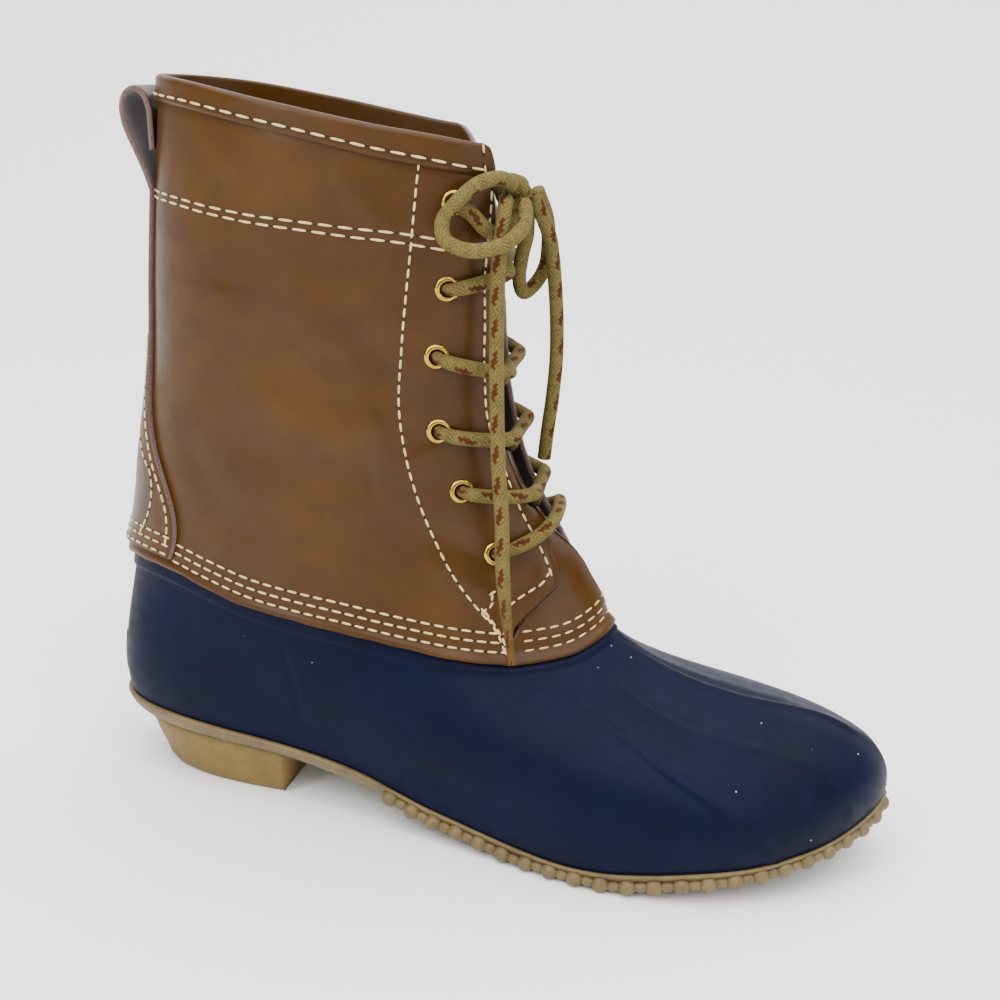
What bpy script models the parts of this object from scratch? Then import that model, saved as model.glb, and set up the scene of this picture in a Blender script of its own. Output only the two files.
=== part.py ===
# Right-foot duck boot: rubber lower, leather shaft, laces in brass eyelets.
# Frame: +X to the toe, +Y to the medial side, +Z up.
# The origin is on the floor under the heel's flat underside.

import bpy
import bmesh
import math
import numpy as np

# Driving sizes in metres
SOLE_LENGTH = 0.2905        # sole rim, heel back to toe
BALL_WIDTH = 0.103          # sole rim at the ball
HEEL_BACK = 0.0505          # sole rim's back edge behind the origin
RIM_HEIGHT = 0.0282         # top of the outsole at the heel's back
SHAFT_LENGTH = 0.1845       # leather's bottom edge, back to front
SHAFT_BACK = 0.0515         # leather's back at its bottom edge behind the origin
SHAFT_WIDTH = 0.0820        # leather's bottom edge, side to side
EDGE_HEIGHT = 0.0840        # leather's bottom edge at the back
COLLAR_HEIGHT = 0.2570      # collar at the back

LEATHER_WALL = 0.0020
RUBBER_WALL = 0.0025
GAP = 0.0003                # between neighbours
CUFF_DEPTH = 0.0110
CUFF_STEP = 0.0010
LAP = 0.0062                # rubber under the leather
BAND_DEPTH = 0.0075         # raised band on the rubber below the leather
BAND_STEP = 0.0008
BAND_SLOPE = 0.0012         # height of the band's lower step
RIDGE_HEIGHT = 0.0014
INSOLE_THICKNESS = 0.0030
INSOLE_ROOM = 0.0012        # from the insole's edge to the rubber's wall

LEDGE = 0.0014              # outsole's rim beyond the rubber
UNDERCUT = 0.0050           # outsole's side leans in towards the floor
LUG_PITCH = 0.0092
LUG_REACH = 0.60            # share of the rim, from the toe, that has lugs
LUG_PROUD = 0.0017
LUG_DEPTH = 0.0026          # grooves between the lugs underneath
LUG_WAVE = 0.0014

HEEL_TOP_INSET = 0.0035
HEEL_TAPER = 0.0070
HEEL_BACK_TAPER = 0.0065
HEEL_SETBACK = 0.0040       # heel's back ahead of the rim's
HEEL_BREAST = 0.0700        # rim's back edge to the breast of the heel
HEEL_COLUMNS = 12

STAY_WIDTH = 0.0220         # pull loop and back stay
STAY_FOOT_WIDTH = 0.0860
STAY_THICKNESS = 0.0018
STAY_SEAT = 0.0008          # stay's inside off the curved back
STAY_LIFT = 0.0035          # stay's foot above the leather's edge at the back

EYELET_BORE = 0.0046
EYELET_FLANGE = 0.0086
EYELET_THICKNESS = 0.0008
EYELET_SEAT = 0.00025       # the flat flange clears the curved leather
EYELET_BEVEL = 0.0006
EYELET_SIDES = 8
HOLE = 0.0060               # holes in the leather
LACE = 0.0050
LACE_CLEAR = 0.0007
LACE_START = 0.0010         # a lace starts this far beyond the eyelet's flange
LACE_PAST = 1.12            # and keeps its height this far past the throat edge, share of its way
CROSS_RISE = 0.20           # height of a crossing at its own throat edge, share of the next eyelet's
CROSS_FAR = 0.45            # and at the far edge
CROSS_POINTS = 8
LACE_SIDES = 8
BAR_RISE = 0.030            # lowest bar climbs this share of the shaft to the throat edge
TONGUE_ROOM = 0.0105        # from the line of the shaft in to the tongue at the middle of the throat

# Sole rim: shares of SOLE_LENGTH along, of BALL_WIDTH sideways
RIM = (
    # along, lateral, medial
    (0.010, 0.117, 0.117),
    (0.024, 0.180, 0.180),
    (0.053, 0.243, 0.243),
    (0.105, 0.296, 0.296),
    (0.170, 0.320, 0.320),
    (0.260, 0.325, 0.306),
    (0.363, 0.345, 0.277),
    (0.466, 0.393, 0.277),
    (0.570, 0.461, 0.330),
    (0.649, 0.510, 0.417),
    (0.718, 0.515, 0.471),
    (0.787, 0.485, 0.481),
    (0.852, 0.417, 0.455),
    (0.900, 0.330, 0.405),
    (0.931, 0.257, 0.360),
    (0.955, 0.180, 0.310),
    (0.979, 0.083, 0.228),
    (0.993, 0.000, 0.160),
)
TOE_APEX = 0.083            # toe's tip to the medial side, share of BALL_WIDTH

# Heights of the sole: shares of SOLE_LENGTH along, of RIM_HEIGHT up
SOLE_HEIGHTS = (
    # along, rim, underside
    (0.000, 1.000, 0.760),
    (0.105, 0.975, 0.735),
    (0.170, 0.935, 0.710),
    (0.260, 0.850, 0.640),
    (0.312, 0.780, 0.550),
    (0.363, 0.680, 0.440),
    (0.404, 0.560, 0.320),
    (0.446, 0.450, 0.190),
    (0.494, 0.370, 0.117),
    (0.542, 0.305, 0.043),
    (0.570, 0.270, 0.000),
    (0.690, 0.280, 0.000),
    (0.725, 0.330, 0.050),
    (0.787, 0.420, 0.150),
    (0.852, 0.495, 0.250),
    (0.900, 0.580, 0.345),
    (0.948, 0.700, 0.475),
    (0.983, 0.830, 0.590),
    (1.000, 0.900, 0.675),
)
FLAT_ROWS = (10, 11)        # the sole is flat on the floor between these rows

# How far the outsole's side leans in, along the sole, share of UNDERCUT
LEAN = ((0.00, 0.55), (0.25, 0.45), (0.45, 0.70), (0.60, 1.00), (0.90, 1.00), (1.00, 0.80))
LAND = (0.655, 0.700)       # forefoot's land without grooves, shares of SOLE_LENGTH

# Heel block from its top down: shares of the tapers and of the underside's height
HEEL_RINGS = (
    # inset, setback, height, drop
    (0.00, 0.00, 1.00, GAP),
    (0.15, 0.15, 0.75, 0.0),
    (0.70, 0.60, 0.13, 0.0),
    (1.00, 1.00, 0.00, 0.0),
)

# Rubber wall from the rim up to the leather, by the way round from heel to toe.
# Handles of each profile in shares of EDGE_HEIGHT; edge is the matching place on the leather's edge.
WALL = (
    # round, edge, foot_out, foot_up, top_out, top_down
    (0.00, 0.00, 0.055, 0.22, 0.015, 0.26),
    (0.20, 0.24, 0.060, 0.24, 0.015, 0.24),
    (0.40, 0.50, 0.070, 0.26, 0.030, 0.24),
    (0.55, 0.68, 0.075, 0.29, 0.100, 0.24),
    (0.70, 0.81, 0.075, 0.36, 0.260, 0.26),
    (0.85, 0.92, 0.065, 0.44, 0.310, 0.33),
    (1.00, 1.00, 0.045, 0.50, 0.320, 0.38),
)

WALL_ROWS = (0, 0.09, 0.23, 0.41, 0.61, 0.82)     # shares of the wall below the band
RIDGE_SWELL = (0, 0, 0.6, 1, 1, 0.7)              # the toe ridges at those rows

# Ways round the edge, heel to toe, where the walls have their corners
EDGE_STATIONS = (
    0.000, 0.045, 0.090, 0.135, 0.180, 0.235, 0.295, 0.355, 0.415, 0.475, 0.535,
    0.595, 0.650, 0.700, 0.745, 0.785, 0.815, 0.840, 0.855, 0.870, 0.895, 0.925,
    0.955, 0.985, 1.000,
)
THROAT_STATION = 15         # quarters end here at the leather's edge
RIDGE_STATION = 18          # side ridges of the toe start here

# Shaft sections: up the shaft, then shares of SHAFT_LENGTH and SHAFT_WIDTH
SHAFT = (
    # up, back, widest, front, half_width, nose
    (0.00, 0.000, 0.50, 1.000, 0.500, 0.46),
    (0.06, 0.014, 0.47, 0.985, 0.486, 0.50),
    (0.12, 0.022, 0.44, 0.962, 0.474, 0.56),
    (0.20, 0.028, 0.41, 0.915, 0.462, 0.64),
    (0.30, 0.038, 0.40, 0.855, 0.456, 0.74),
    (0.42, 0.050, 0.40, 0.805, 0.450, 0.84),
    (0.60, 0.052, 0.40, 0.782, 0.448, 0.88),
    (0.80, 0.055, 0.40, 0.778, 0.448, 0.88),
    (1.00, 0.060, 0.40, 0.774, 0.450, 0.88),
)

# Height of the leather's edge and collar by the way round, heel to toe
SHAFT_HEIGHTS = (
    # round, edge, collar
    (0.00, 1.000, 1.000),
    (0.13, 1.042, 0.999),
    (0.20, 1.040, 0.997),
    (0.27, 1.012, 0.993),
    (0.36, 0.972, 0.986),
    (0.45, 0.952, 0.979),
    (0.52, 0.938, 0.973),
    (0.62, 0.905, 0.965),
    (0.75, 0.863, 0.957),
    (0.80, 0.857, 0.953),
    (0.85, 0.869, 0.950),
    (0.91, 0.893, 0.947),
    (0.96, 0.940, 0.944),
    (1.00, 0.975, 0.942),
)

# Front edge of each quarter: up the shaft, share of SHAFT_LENGTH from the back
THROAT = (
    # up, lateral, medial
    (0.000, 0.838, 0.838),
    (0.050, 0.845, 0.845),
    (0.068, 0.860, 0.860),
    (0.123, 0.912, 0.907),
    (0.160, 0.905, 0.897),
    (0.200, 0.890, 0.872),
    (0.300, 0.828, 0.812),
    (0.430, 0.778, 0.764),
    (0.500, 0.765, 0.747),
    (0.630, 0.762, 0.725),
    (0.800, 0.746, 0.700),
    (0.900, 0.741, 0.665),
    (1.000, 0.731, 0.610),
)
QUARTER_ROWS = (0, 0.05, 0.068, 0.123, 0.16, 0.20, 0.25, 0.30, 0.37, 0.46, 0.60, 0.74, 0.88)
TONGUE_ROWS = (
    # up, room (share of TONGUE_ROOM), under (how far it reaches under the quarter)
    (0.000, 0.00, 0.00),
    (0.046, 0.00, 0.00),
    (0.066, 0.30, 0.00),
    (0.090, 0.33, 0.03),
    (0.123, 0.33, 0.06),
    (0.160, 0.44, 0.07),
    (0.200, 0.70, 0.08),
    (0.300, 1.00, 0.09),
    (0.450, 1.00, 0.10),
    (0.600, 1.05, 0.10),
    (0.730, 1.40, 0.10),
    (0.900, 1.50, 0.10),
)
TONGUE_EDGE_ROOM = 0.0034   # outside of the tongue below the quarters' outside

STAY_ROWS = (0, 0.08, 0.16, 0.24, 0.33, 0.43, 0.56, 0.78, 1.0)     # shares of the way up to the loop

# Height and width of the back stay's foot
STAY_FLARE = (
    # height (share of COLLAR_HEIGHT), flare
    (0.34, 0.98),
    (0.355, 1.00),
    (0.40, 0.93),
    (0.44, 0.74),
    (0.48, 0.52),
    (0.53, 0.30),
    (0.58, 0.14),
    (0.63, 0.04),
    (0.68, 0.00),
    (1.00, 0.00),
)

# Eyelets: up the shaft, and share of SHAFT_LENGTH behind the throat edge
EYELETS = (
    # up, behind the throat edge
    (0.884, 0.062),
    (0.722, 0.076),
    (0.590, 0.096),
    (0.444, 0.096),
    (0.327, 0.088),
    (0.202, 0.092),
)

# Pull loop: path of the strip behind the back of the shaft
LOOP = (
    # height, out (both shares of COLLAR_HEIGHT)
    (0.845, 0.0050),
    (0.868, 0.0120),
    (0.900, 0.0260),
    (0.930, 0.0400),
    (0.955, 0.0450),
    (0.972, 0.0400),
    (0.979, 0.0280),
    (0.972, 0.0160),
    (0.955, 0.0085),
    (0.930, 0.0068),
    (0.900, 0.0062),
)
LOOP_ROWS = 13
LOOP_BOW = 0.75             # how far the loop flattens from the curve of the shaft's back

# Routes of the lace's free parts, in millimetres from the origin
KNOT_CENTRE = (89.5, -12.5, 228.5)
KNOT_SIZE = (0.0112, 0.0134, 0.0112)
KNOT_PINCH = 0.18
MILLIMETRE = 0.001
CORD_ROUTES = {
    "lace_loop_lateral": (
        (90.5, -20, 231.5), (88, -26.5, 234), (82, -32, 232), (76.5, -36.5, 226), (73, -39, 220),
        (74.5, -41, 214.8), (80, -42.3, 212.4), (86.5, -41, 212.3), (92.5, -37, 214.2), (96.3, -30.5, 218),
        (96.8, -24.5, 222), (95, -20, 226.2),
    ),
    "lace_loop_medial": (
        (93.6, -6.4, 223), (93.6, -4.5, 214.5), (91.8, -1.5, 206.5), (91, 1, 198), (92.5, 3.5, 193.5),
        (96, 6.5, 197), (98.5, 8, 203), (99, 7.5, 209), (99, 5, 216), (98.5, 0, 222), (96, -5, 229.5),
    ),
    "lace_end_lateral": (
        (89, -20.3, 226.6), (89.9, -25.3, 225.2), (90.5, -29, 220), (90.5, -31, 213), (90.5, -31.7, 206),
        (91.5, -32, 187), (93.5, -33, 163), (96, -34, 140), (99, -36, 122), (101, -39, 107),
        (104, -42, 92), (108, -44.5, 75),
    ),
    "lace_end_medial": (
        (96.9, -11.5, 227.3), (99.2, -8, 221), (101.5, -4, 214), (102.5, -1, 207), (103.5, 2.5, 197),
        (104.5, 5.5, 185), (105, 8.5, 170), (104.5, 10, 156), (103.5, 11, 142), (103, 12, 133),
    ),
    "lace_to_knot": (
        (80.5, -30.5, 222), (84.5, -28, 217.8), (89.5, -23.5, 215.3), (90.5, -18, 217.3), (89.5, -12.5, 219.7),
        (87.5, -4, 222.5), (87.5, 6, 226.2), (86, 18, 228.8), (82, 26.5, 229), (77, 31.7, 228.2),
        (72.5, 34.2, 227.2), (68, 35.6, 226.8),
    ),
}

MATERIALS = {
    # colour, roughness, metallic
    "gum_rubber": ((0.36, 0.26, 0.11), 0.60, 0.0),
    "ochre_rubber": ((0.40, 0.26, 0.05), 0.55, 0.0),
    "navy_rubber": ((0.006, 0.014, 0.055), 0.40, 0.0),
    "brown_leather": ((0.20, 0.082, 0.014), 0.35, 0.0),
    "brass": ((0.70, 0.48, 0.16), 0.25, 1.0),
    "lace_cord": ((0.42, 0.33, 0.15), 0.85, 0.0),
    "insole_cloth": ((0.22, 0.19, 0.15), 0.90, 0.0),
}


def clear_scene():
    for old in list(bpy.data.objects):
        bpy.data.objects.remove(old, do_unlink=True)


def material(slot):
    """The Principled material of one slot."""
    made = bpy.data.materials.get(slot) or bpy.data.materials.new(slot)
    made.use_nodes = True
    colour, roughness, metallic = MATERIALS[slot]
    shader = made.node_tree.nodes["Principled BSDF"]
    shader.inputs["Base Color"].default_value = (*colour, 1.0)
    shader.inputs["Roughness"].default_value = roughness
    shader.inputs["Metallic"].default_value = metallic
    return made


def smooth(at, keys, values):
    """Values at places between keys, on a smooth curve through the table."""
    keys = np.asarray(keys, float)
    values = np.asarray(values, float)
    slope = np.gradient(values, keys, axis=0)
    at = np.clip(np.asarray(at, float), keys[0], keys[-1])
    i = np.clip(np.searchsorted(keys, at, side="right") - 1, 0, len(keys) - 2)
    span = keys[i + 1] - keys[i]
    t = (at - keys[i]) / span
    rise = t * t * (3 - 2 * t)
    start = t * (1 - t) ** 2 * span
    end = t * t * (t - 1) * span
    return values[i] * (1 - rise) + values[i + 1] * rise + slope[i] * start + slope[i + 1] * end


def column(table, index):
    return np.array([row[index] for row in table], float)


def along_path(points, shares):
    """Points at shares of a smooth path's length."""
    points = np.asarray(points, float)
    steps = np.linalg.norm(np.diff(points, axis=0), axis=1)
    keys = np.concatenate(([0], np.cumsum(np.sqrt(steps))))
    fine_keys = np.linspace(0, keys[-1], 40 * len(points))
    fine = np.stack([smooth(fine_keys, keys, points[:, k]) for k in range(points.shape[1])], -1)
    length = np.concatenate(([0], np.cumsum(np.linalg.norm(np.diff(fine, axis=0), axis=1))))
    wanted = np.asarray(shares) * length[-1]
    return np.stack([np.interp(wanted, length, fine[:, k]) for k in range(points.shape[1])], -1)


def bezier(t, p0, p1, p2, p3):
    t = np.asarray(t, float)[..., None]
    return (1 - t) ** 3 * p0 + 3 * (1 - t) ** 2 * t * p1 + 3 * (1 - t) * t ** 2 * p2 + t ** 3 * p3


def rim_side(shares, side):
    """Plan points of the rim from the heel's back to the toe, one side: -1 lateral, 1 medial."""
    across = 1 if side < 0 else 2
    rows = [(0.0, 0.0)]
    rows += [(row[0], side * row[across]) for row in RIM]
    rows.append((1.0, TOE_APEX))
    plan = along_path(np.array(rows) * (SOLE_LENGTH, BALL_WIDTH), shares)
    return plan - (HEEL_BACK, 0)


def rim_height(x):
    share = (np.asarray(x) + HEEL_BACK) / SOLE_LENGTH
    return RIM_HEIGHT * smooth(share, column(SOLE_HEIGHTS, 0), column(SOLE_HEIGHTS, 1))


def underside_height(x):
    share = (np.asarray(x) + HEEL_BACK) / SOLE_LENGTH
    height = RIM_HEIGHT * smooth(share, column(SOLE_HEIGHTS, 0), column(SOLE_HEIGHTS, 2))
    first, last = (SOLE_HEIGHTS[k][0] for k in FLAT_ROWS)
    flat = (share >= first) & (share <= last)
    return np.where(flat, 0.0, np.maximum(height, 0.0))


def loop_normals(plan):
    """Outward plan normals of a closed loop that runs heel, lateral side, toe, medial side."""
    tangent = np.roll(plan, -1, axis=0) - np.roll(plan, 1, axis=0)
    normal = np.stack([tangent[:, 1], -tangent[:, 0]], -1)
    return normal / np.linalg.norm(normal, axis=1, keepdims=True)


def both_sides(function, shares):
    """A closed loop: the lateral side from heel to toe, then the medial side back."""
    lateral = function(shares, -1)
    medial = function(shares[1:-1], 1)
    return np.concatenate([lateral, medial[::-1]])


def shaft_point(up, share, side):
    """Outside of the leather: up the shaft 0 to 1, share of the way from back to front."""
    up, share = np.broadcast_arrays(np.asarray(up, float), np.asarray(share, float))
    flat_up, flat_share = up.ravel(), share.ravel()
    points = np.zeros((len(flat_up), 3))
    fine = np.linspace(0, 1, 40)
    for value in np.unique(flat_up):
        back, widest, front, half, nose = (
            smooth(value, column(SHAFT, 0), column(SHAFT, k)) for k in range(1, 6)
        )
        back, widest, front = (SHAFT_LENGTH * k for k in (back, widest, front))
        half = half * SHAFT_WIDTH
        rear = bezier(
            fine,
            np.array([back, 0]),
            np.array([back, 0.56 * half]),
            np.array([widest - 0.52 * (widest - back), half]),
            np.array([widest, half]),
        )
        fore = bezier(
            fine,
            np.array([widest, half]),
            np.array([widest + 0.56 * (front - widest), half]),
            np.array([front, nose * half]),
            np.array([front, 0]),
        )
        line = np.concatenate([rear, fore[1:]])
        length = np.concatenate(([0], np.cumsum(np.linalg.norm(np.diff(line, axis=0), axis=1))))
        mine = flat_up == value
        wanted = flat_share[mine] * length[-1]
        points[mine, 0] = np.interp(wanted, length, line[:, 0]) - SHAFT_BACK
        points[mine, 1] = side * np.interp(wanted, length, line[:, 1])
    low = EDGE_HEIGHT * smooth(flat_share, column(SHAFT_HEIGHTS, 0), column(SHAFT_HEIGHTS, 1))
    high = COLLAR_HEIGHT * smooth(flat_share, column(SHAFT_HEIGHTS, 0), column(SHAFT_HEIGHTS, 2))
    points[:, 2] = low + (high - low) * flat_up
    return points.reshape(*up.shape, 3)


def share_at(up, along):
    """Share of the way round at which a section of the shaft has this place along."""
    shares = np.linspace(0.3, 1.0, 400)
    x = shaft_point(up, shares, -1)[:, 0] + SHAFT_BACK
    return float(np.interp(along * SHAFT_LENGTH, x, shares))


def throat_along(up, side):
    """Where a quarter's front edge stands along the shaft."""
    keys, values = column(THROAT, 0), column(THROAT, 1 if side < 0 else 2)
    if up > THROAT[5][0]:
        return smooth(up, keys, values)
    return np.interp(up, keys, values)


def throat_share(up, side):
    return share_at(up, throat_along(up, side))


def shaft_normal(up, share, side):
    """Outward unit normal of the leather's outside."""
    small = 0.004
    low, high = np.clip(up - small, 0, 1), np.clip(up + small, 0, 1)
    rise = shaft_point(high, share, side) - shaft_point(low, share, side)
    back, fore = np.clip(share - small, 0, 1), np.clip(share + small, 0, 1)
    run = shaft_point(up, fore, side) - shaft_point(up, back, side)
    normal = np.cross(run, rise) * -side
    return normal / np.linalg.norm(normal, axis=-1, keepdims=True)


def shaft_offset(up, share, side, out):
    """A point that lies this far outside the leather's outside."""
    out = np.asarray(out, float)[..., None]
    return shaft_point(up, share, side) + shaft_normal(up, share, side) * out


def grid_normals(grid, closed):
    """Normals of a grid of points, first axis round the piece and second axis up it."""
    if closed:
        run = np.roll(grid, -1, axis=0) - np.roll(grid, 1, axis=0)
    else:
        run = np.gradient(grid, axis=0)
    rise = np.gradient(grid, axis=1)
    normal = np.cross(run, rise)
    return normal / np.linalg.norm(normal, axis=2, keepdims=True)


def add_object(name, mesh, slot):
    mesh.materials.append(material(slot))
    made = bpy.data.objects.new(name, mesh)
    bpy.context.scene.collection.objects.link(made)
    return made


def closed_mesh(name, points, faces):
    """A mesh whose faces all point out."""
    mesh = bpy.data.meshes.new(name)
    work = bmesh.new()
    corners = [work.verts.new(tuple(point)) for point in points]
    for face in faces:
        work.faces.new([corners[k] for k in face])
    bmesh.ops.recalc_face_normals(work, faces=work.faces)
    work.to_mesh(mesh)
    work.free()
    mesh.shade_smooth()
    mesh.set_sharp_from_angle(angle=math.radians(35))
    return mesh


def wall_mesh(name, outer, inner, closed):
    """A wall between two grids of the same size, closed round the piece or a strip."""
    count, rows = outer.shape[:2]
    points = np.concatenate([outer.reshape(-1, 3), inner.reshape(-1, 3)])
    shift = count * rows
    faces = []
    for i in range(count if closed else count - 1):
        n = (i + 1) % count
        for j in range(rows - 1):
            a, b, c, d = i * rows + j, n * rows + j, n * rows + j + 1, i * rows + j + 1
            faces.append((a, b, c, d))
            faces.append((a + shift, d + shift, c + shift, b + shift))
        for j in (0, rows - 1):
            a, b = i * rows + j, n * rows + j
            faces.append((a, a + shift, b + shift, b))
    if not closed:
        for i in (0, count - 1):
            for j in range(rows - 1):
                a, b = i * rows + j, i * rows + j + 1
                faces.append((a, b, b + shift, a + shift))
    return closed_mesh(name, points, faces)


def plate_mesh(name, rings, top_height, bottom_height, columns):
    """A body between closed rings, top ring first, with faces across from side to side."""
    count = len(rings[0])
    half = count // 2
    points = [tuple(point) for ring in rings for point in ring]
    faces = []
    for k in range(len(rings) - 1):
        for i in range(count):
            n = (i + 1) % count
            faces.append((k * count + i, k * count + n, (k + 1) * count + n, (k + 1) * count + i))
    ends = ((0, top_height, columns[0]), (len(rings) - 1, bottom_height, columns[1]))
    for ring_index, height, across in ends:
        base = ring_index * count
        ring = rings[ring_index]
        lines = []
        for i in range(1, half):
            left, right = ring[i], ring[count - i]
            line = [base + i]
            for k in range(1, across + 1):
                share = k / (across + 1)
                spot = left * (1 - share) + right * share
                points.append(tuple(height(spot, i, k)))
                line.append(len(points) - 1)
            line.append(base + count - i)
            lines.append(line)
        for one, two in zip(lines[:-1], lines[1:]):
            for k in range(across + 1):
                faces.append((one[k], one[k + 1], two[k + 1], two[k]))
        faces.append(tuple([base] + lines[0]))
        faces.append(tuple([base + half] + lines[-1]))
    return closed_mesh(name, points, faces)


def tube_mesh(name, points, radius, sides):
    """A tube with flat ends along a path."""
    points = np.asarray(points, float)
    tangent = np.gradient(points, axis=0)
    tangent /= np.linalg.norm(tangent, axis=1, keepdims=True)
    side = np.cross(tangent, (0.0, 0.31, 1.0))
    side /= np.linalg.norm(side, axis=1, keepdims=True)
    up = np.cross(side, tangent)
    angles = np.arange(sides) * 2 * math.pi / sides
    ring = side[:, None] * np.cos(angles)[None, :, None] + up[:, None] * np.sin(angles)[None, :, None]
    rings = points[:, None] + radius * ring
    count = len(points)
    faces = []
    for i in range(count - 1):
        for k in range(sides):
            n = (k + 1) % sides
            faces.append((i * sides + k, i * sides + n, (i + 1) * sides + n, (i + 1) * sides + k))
    faces.append(tuple(range(sides)))
    faces.append(tuple((count - 1) * sides + k for k in range(sides)))
    return closed_mesh(name, rings.reshape(-1, 3), faces)


def boolean(target, tool, operation):
    """A live Boolean with a hidden cutter."""
    tool.hide_render = True
    tool.display_type = "WIRE"
    cut = target.modifiers.new(operation.lower(), "BOOLEAN")
    cut.operation = operation
    cut.solver = "EXACT"
    cut.object = tool


def edge_loop_shares():
    """Way round the rim that matches each station of the leather's edge."""
    return smooth(EDGE_STATIONS, column(WALL, 1), column(WALL, 0))


def build_rubber_shell():
    """The moulded lower: a hollow wall from the rim to its lap inside the leather."""
    rounds = edge_loop_shares()
    rim = both_sides(rim_side, rounds)
    out = loop_normals(rim)
    shares = np.array(EDGE_STATIONS)
    inset = LEATHER_WALL + GAP

    def edge(at, side):
        return shaft_offset(0.0, at, side, np.full(len(at), -inset))

    def edge_out(at, side):
        return shaft_normal(np.zeros(len(at)), at, side)

    def lap(at, side):
        up = LAP / (COLLAR_HEIGHT - EDGE_HEIGHT)
        return shaft_offset(np.full(len(at), up), at, side, np.full(len(at), -inset))

    top = both_sides(edge, shares)
    top[:, 2] -= GAP
    top_out = both_sides(edge_out, shares)
    top_out[:, 2] = 0
    top_out /= np.linalg.norm(top_out, axis=1, keepdims=True)
    count = len(rim)
    way = np.concatenate([rounds, rounds[1:-1][::-1]])
    foot = np.column_stack([rim, rim_height(rim[:, 0]) + GAP])
    handles = [smooth(way, column(WALL, 0), column(WALL, k)) * EDGE_HEIGHT for k in range(2, 6)]
    foot_handle = foot + np.column_stack([out * handles[0][:, None], handles[1]])
    top_handle = top + top_out * handles[2][:, None]
    top_handle[:, 2] -= handles[3]
    ridges = {RIDGE_STATION, len(EDGE_STATIONS) - 1, count - RIDGE_STATION}
    profiles = []
    for i in range(count):
        fine = bezier(np.linspace(0, 1, 80), foot[i], foot_handle[i], top_handle[i], top[i])
        length = np.concatenate(([0], np.cumsum(np.linalg.norm(np.diff(fine, axis=0), axis=1))))
        band = length[-1] - BAND_DEPTH
        wanted = np.concatenate([np.array(WALL_ROWS) * band, (band, band + BAND_SLOPE, length[-1])])
        profiles.append([[np.interp(w, length, fine[:, k]) for k in range(3)] for w in wanted])
    outer = np.array(profiles)
    normals = grid_normals(outer, True)
    raised = outer.copy()
    raised[:, -2:] += BAND_STEP * normals[:, -2:]
    raised[:, -1, 2] = outer[:, -1, 2]
    low = len(WALL_ROWS)
    for i in ridges:
        raised[i, :low] += RIDGE_HEIGHT * np.array(RIDGE_SWELL)[:, None] * normals[i, :low]
    inner = outer - RUBBER_WALL * normals
    inner[:, 0, 2] = outer[:, 0, 2]
    lap_top = both_sides(lap, shares)
    raised = np.concatenate([raised, top[:, None], lap_top[:, None]], axis=1)
    inward = RUBBER_WALL * np.column_stack([top_out[:, :2], np.zeros(count)])
    inner[:, -1] = top - inward - (0, 0, BAND_SLOPE)
    inner = np.concatenate([inner, (top - inward)[:, None], (lap_top - inward)[:, None]], axis=1)
    add_object("rubber_shell", wall_mesh("rubber_shell", raised, inner, True), "navy_rubber")


def quarter_rows():
    fold = 1 - CUFF_DEPTH / (COLLAR_HEIGHT - EDGE_HEIGHT)
    rows = [(up, 0.0) for up in QUARTER_ROWS]
    rows += [(fold, 0.0), (fold + 0.004, CUFF_STEP), (1.0, CUFF_STEP)]
    return rows


def quarter_shares(up, side):
    """Ways round the shaft of a quarter's corners: fixed behind, drawn to the throat edge in front."""
    base = np.array(EDGE_STATIONS[: THROAT_STATION + 1])
    if up == 0.0:
        return base
    pull = np.clip((base / base[-1] - 0.45) / 0.55, 0, 1) ** 1.5
    return base + pull * (throat_share(up, side) - base[-1])


def quarter_line(up, depth):
    """One row of the shaft from the medial throat edge round the back to the lateral one."""
    sides = []
    for side in (1, -1):
        shares = quarter_shares(up, side)
        sides.append(shaft_offset(np.full(len(shares), up), shares, side, np.full(len(shares), depth)))
    return np.concatenate([sides[0][:0:-1], sides[1]])


def build_quarters():
    """The leather shaft: one wall from throat edge to throat edge round the back."""
    outer = np.stack([quarter_line(up, step) for up, step in quarter_rows()], axis=1)
    inner = np.stack([quarter_line(up, -LEATHER_WALL) for up, step in quarter_rows()], axis=1)
    quarters = add_object("quarters", wall_mesh("quarters", outer, inner, False), "brown_leather")
    boolean(quarters, hole_cutter(), "DIFFERENCE")


def eyelet_share(row, side):
    up, behind = EYELETS[row]
    return share_at(up, throat_along(up, side) - behind)


def eyelet_places():
    """Centre and outward direction of each eyelet, with its name."""
    for side, word in ((-1, "lateral"), (1, "medial")):
        for row, (up, _) in enumerate(EYELETS):
            share = eyelet_share(row, side)
            centre = shaft_point(up, share, side)
            normal = shaft_normal(np.float64(up), np.float64(share), side)
            yield f"eyelet_{word}_{row + 1}", centre, normal


def axis_frame(normal):
    side = np.cross((0.0, 0.0, 1.0), normal)
    side /= np.linalg.norm(side)
    return side, np.cross(normal, side)


def turned_mesh(name, profile, centre, normal, sides):
    """A closed profile of radius and height, turned round an axis."""
    side, up = axis_frame(normal)
    rings = []
    for k in range(sides):
        angle = 2 * math.pi * k / sides
        out = math.cos(angle) * side + math.sin(angle) * up
        rings.append([centre + radius * out + height * normal for radius, height in profile])
    rings = np.array(rings)
    rows = len(profile)
    faces = []
    for i in range(sides):
        n = (i + 1) % sides
        for j in range(rows):
            m = (j + 1) % rows
            faces.append((i * rows + j, n * rows + j, n * rows + m, i * rows + m))
    return closed_mesh(name, rings.reshape(-1, 3), faces)


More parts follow.
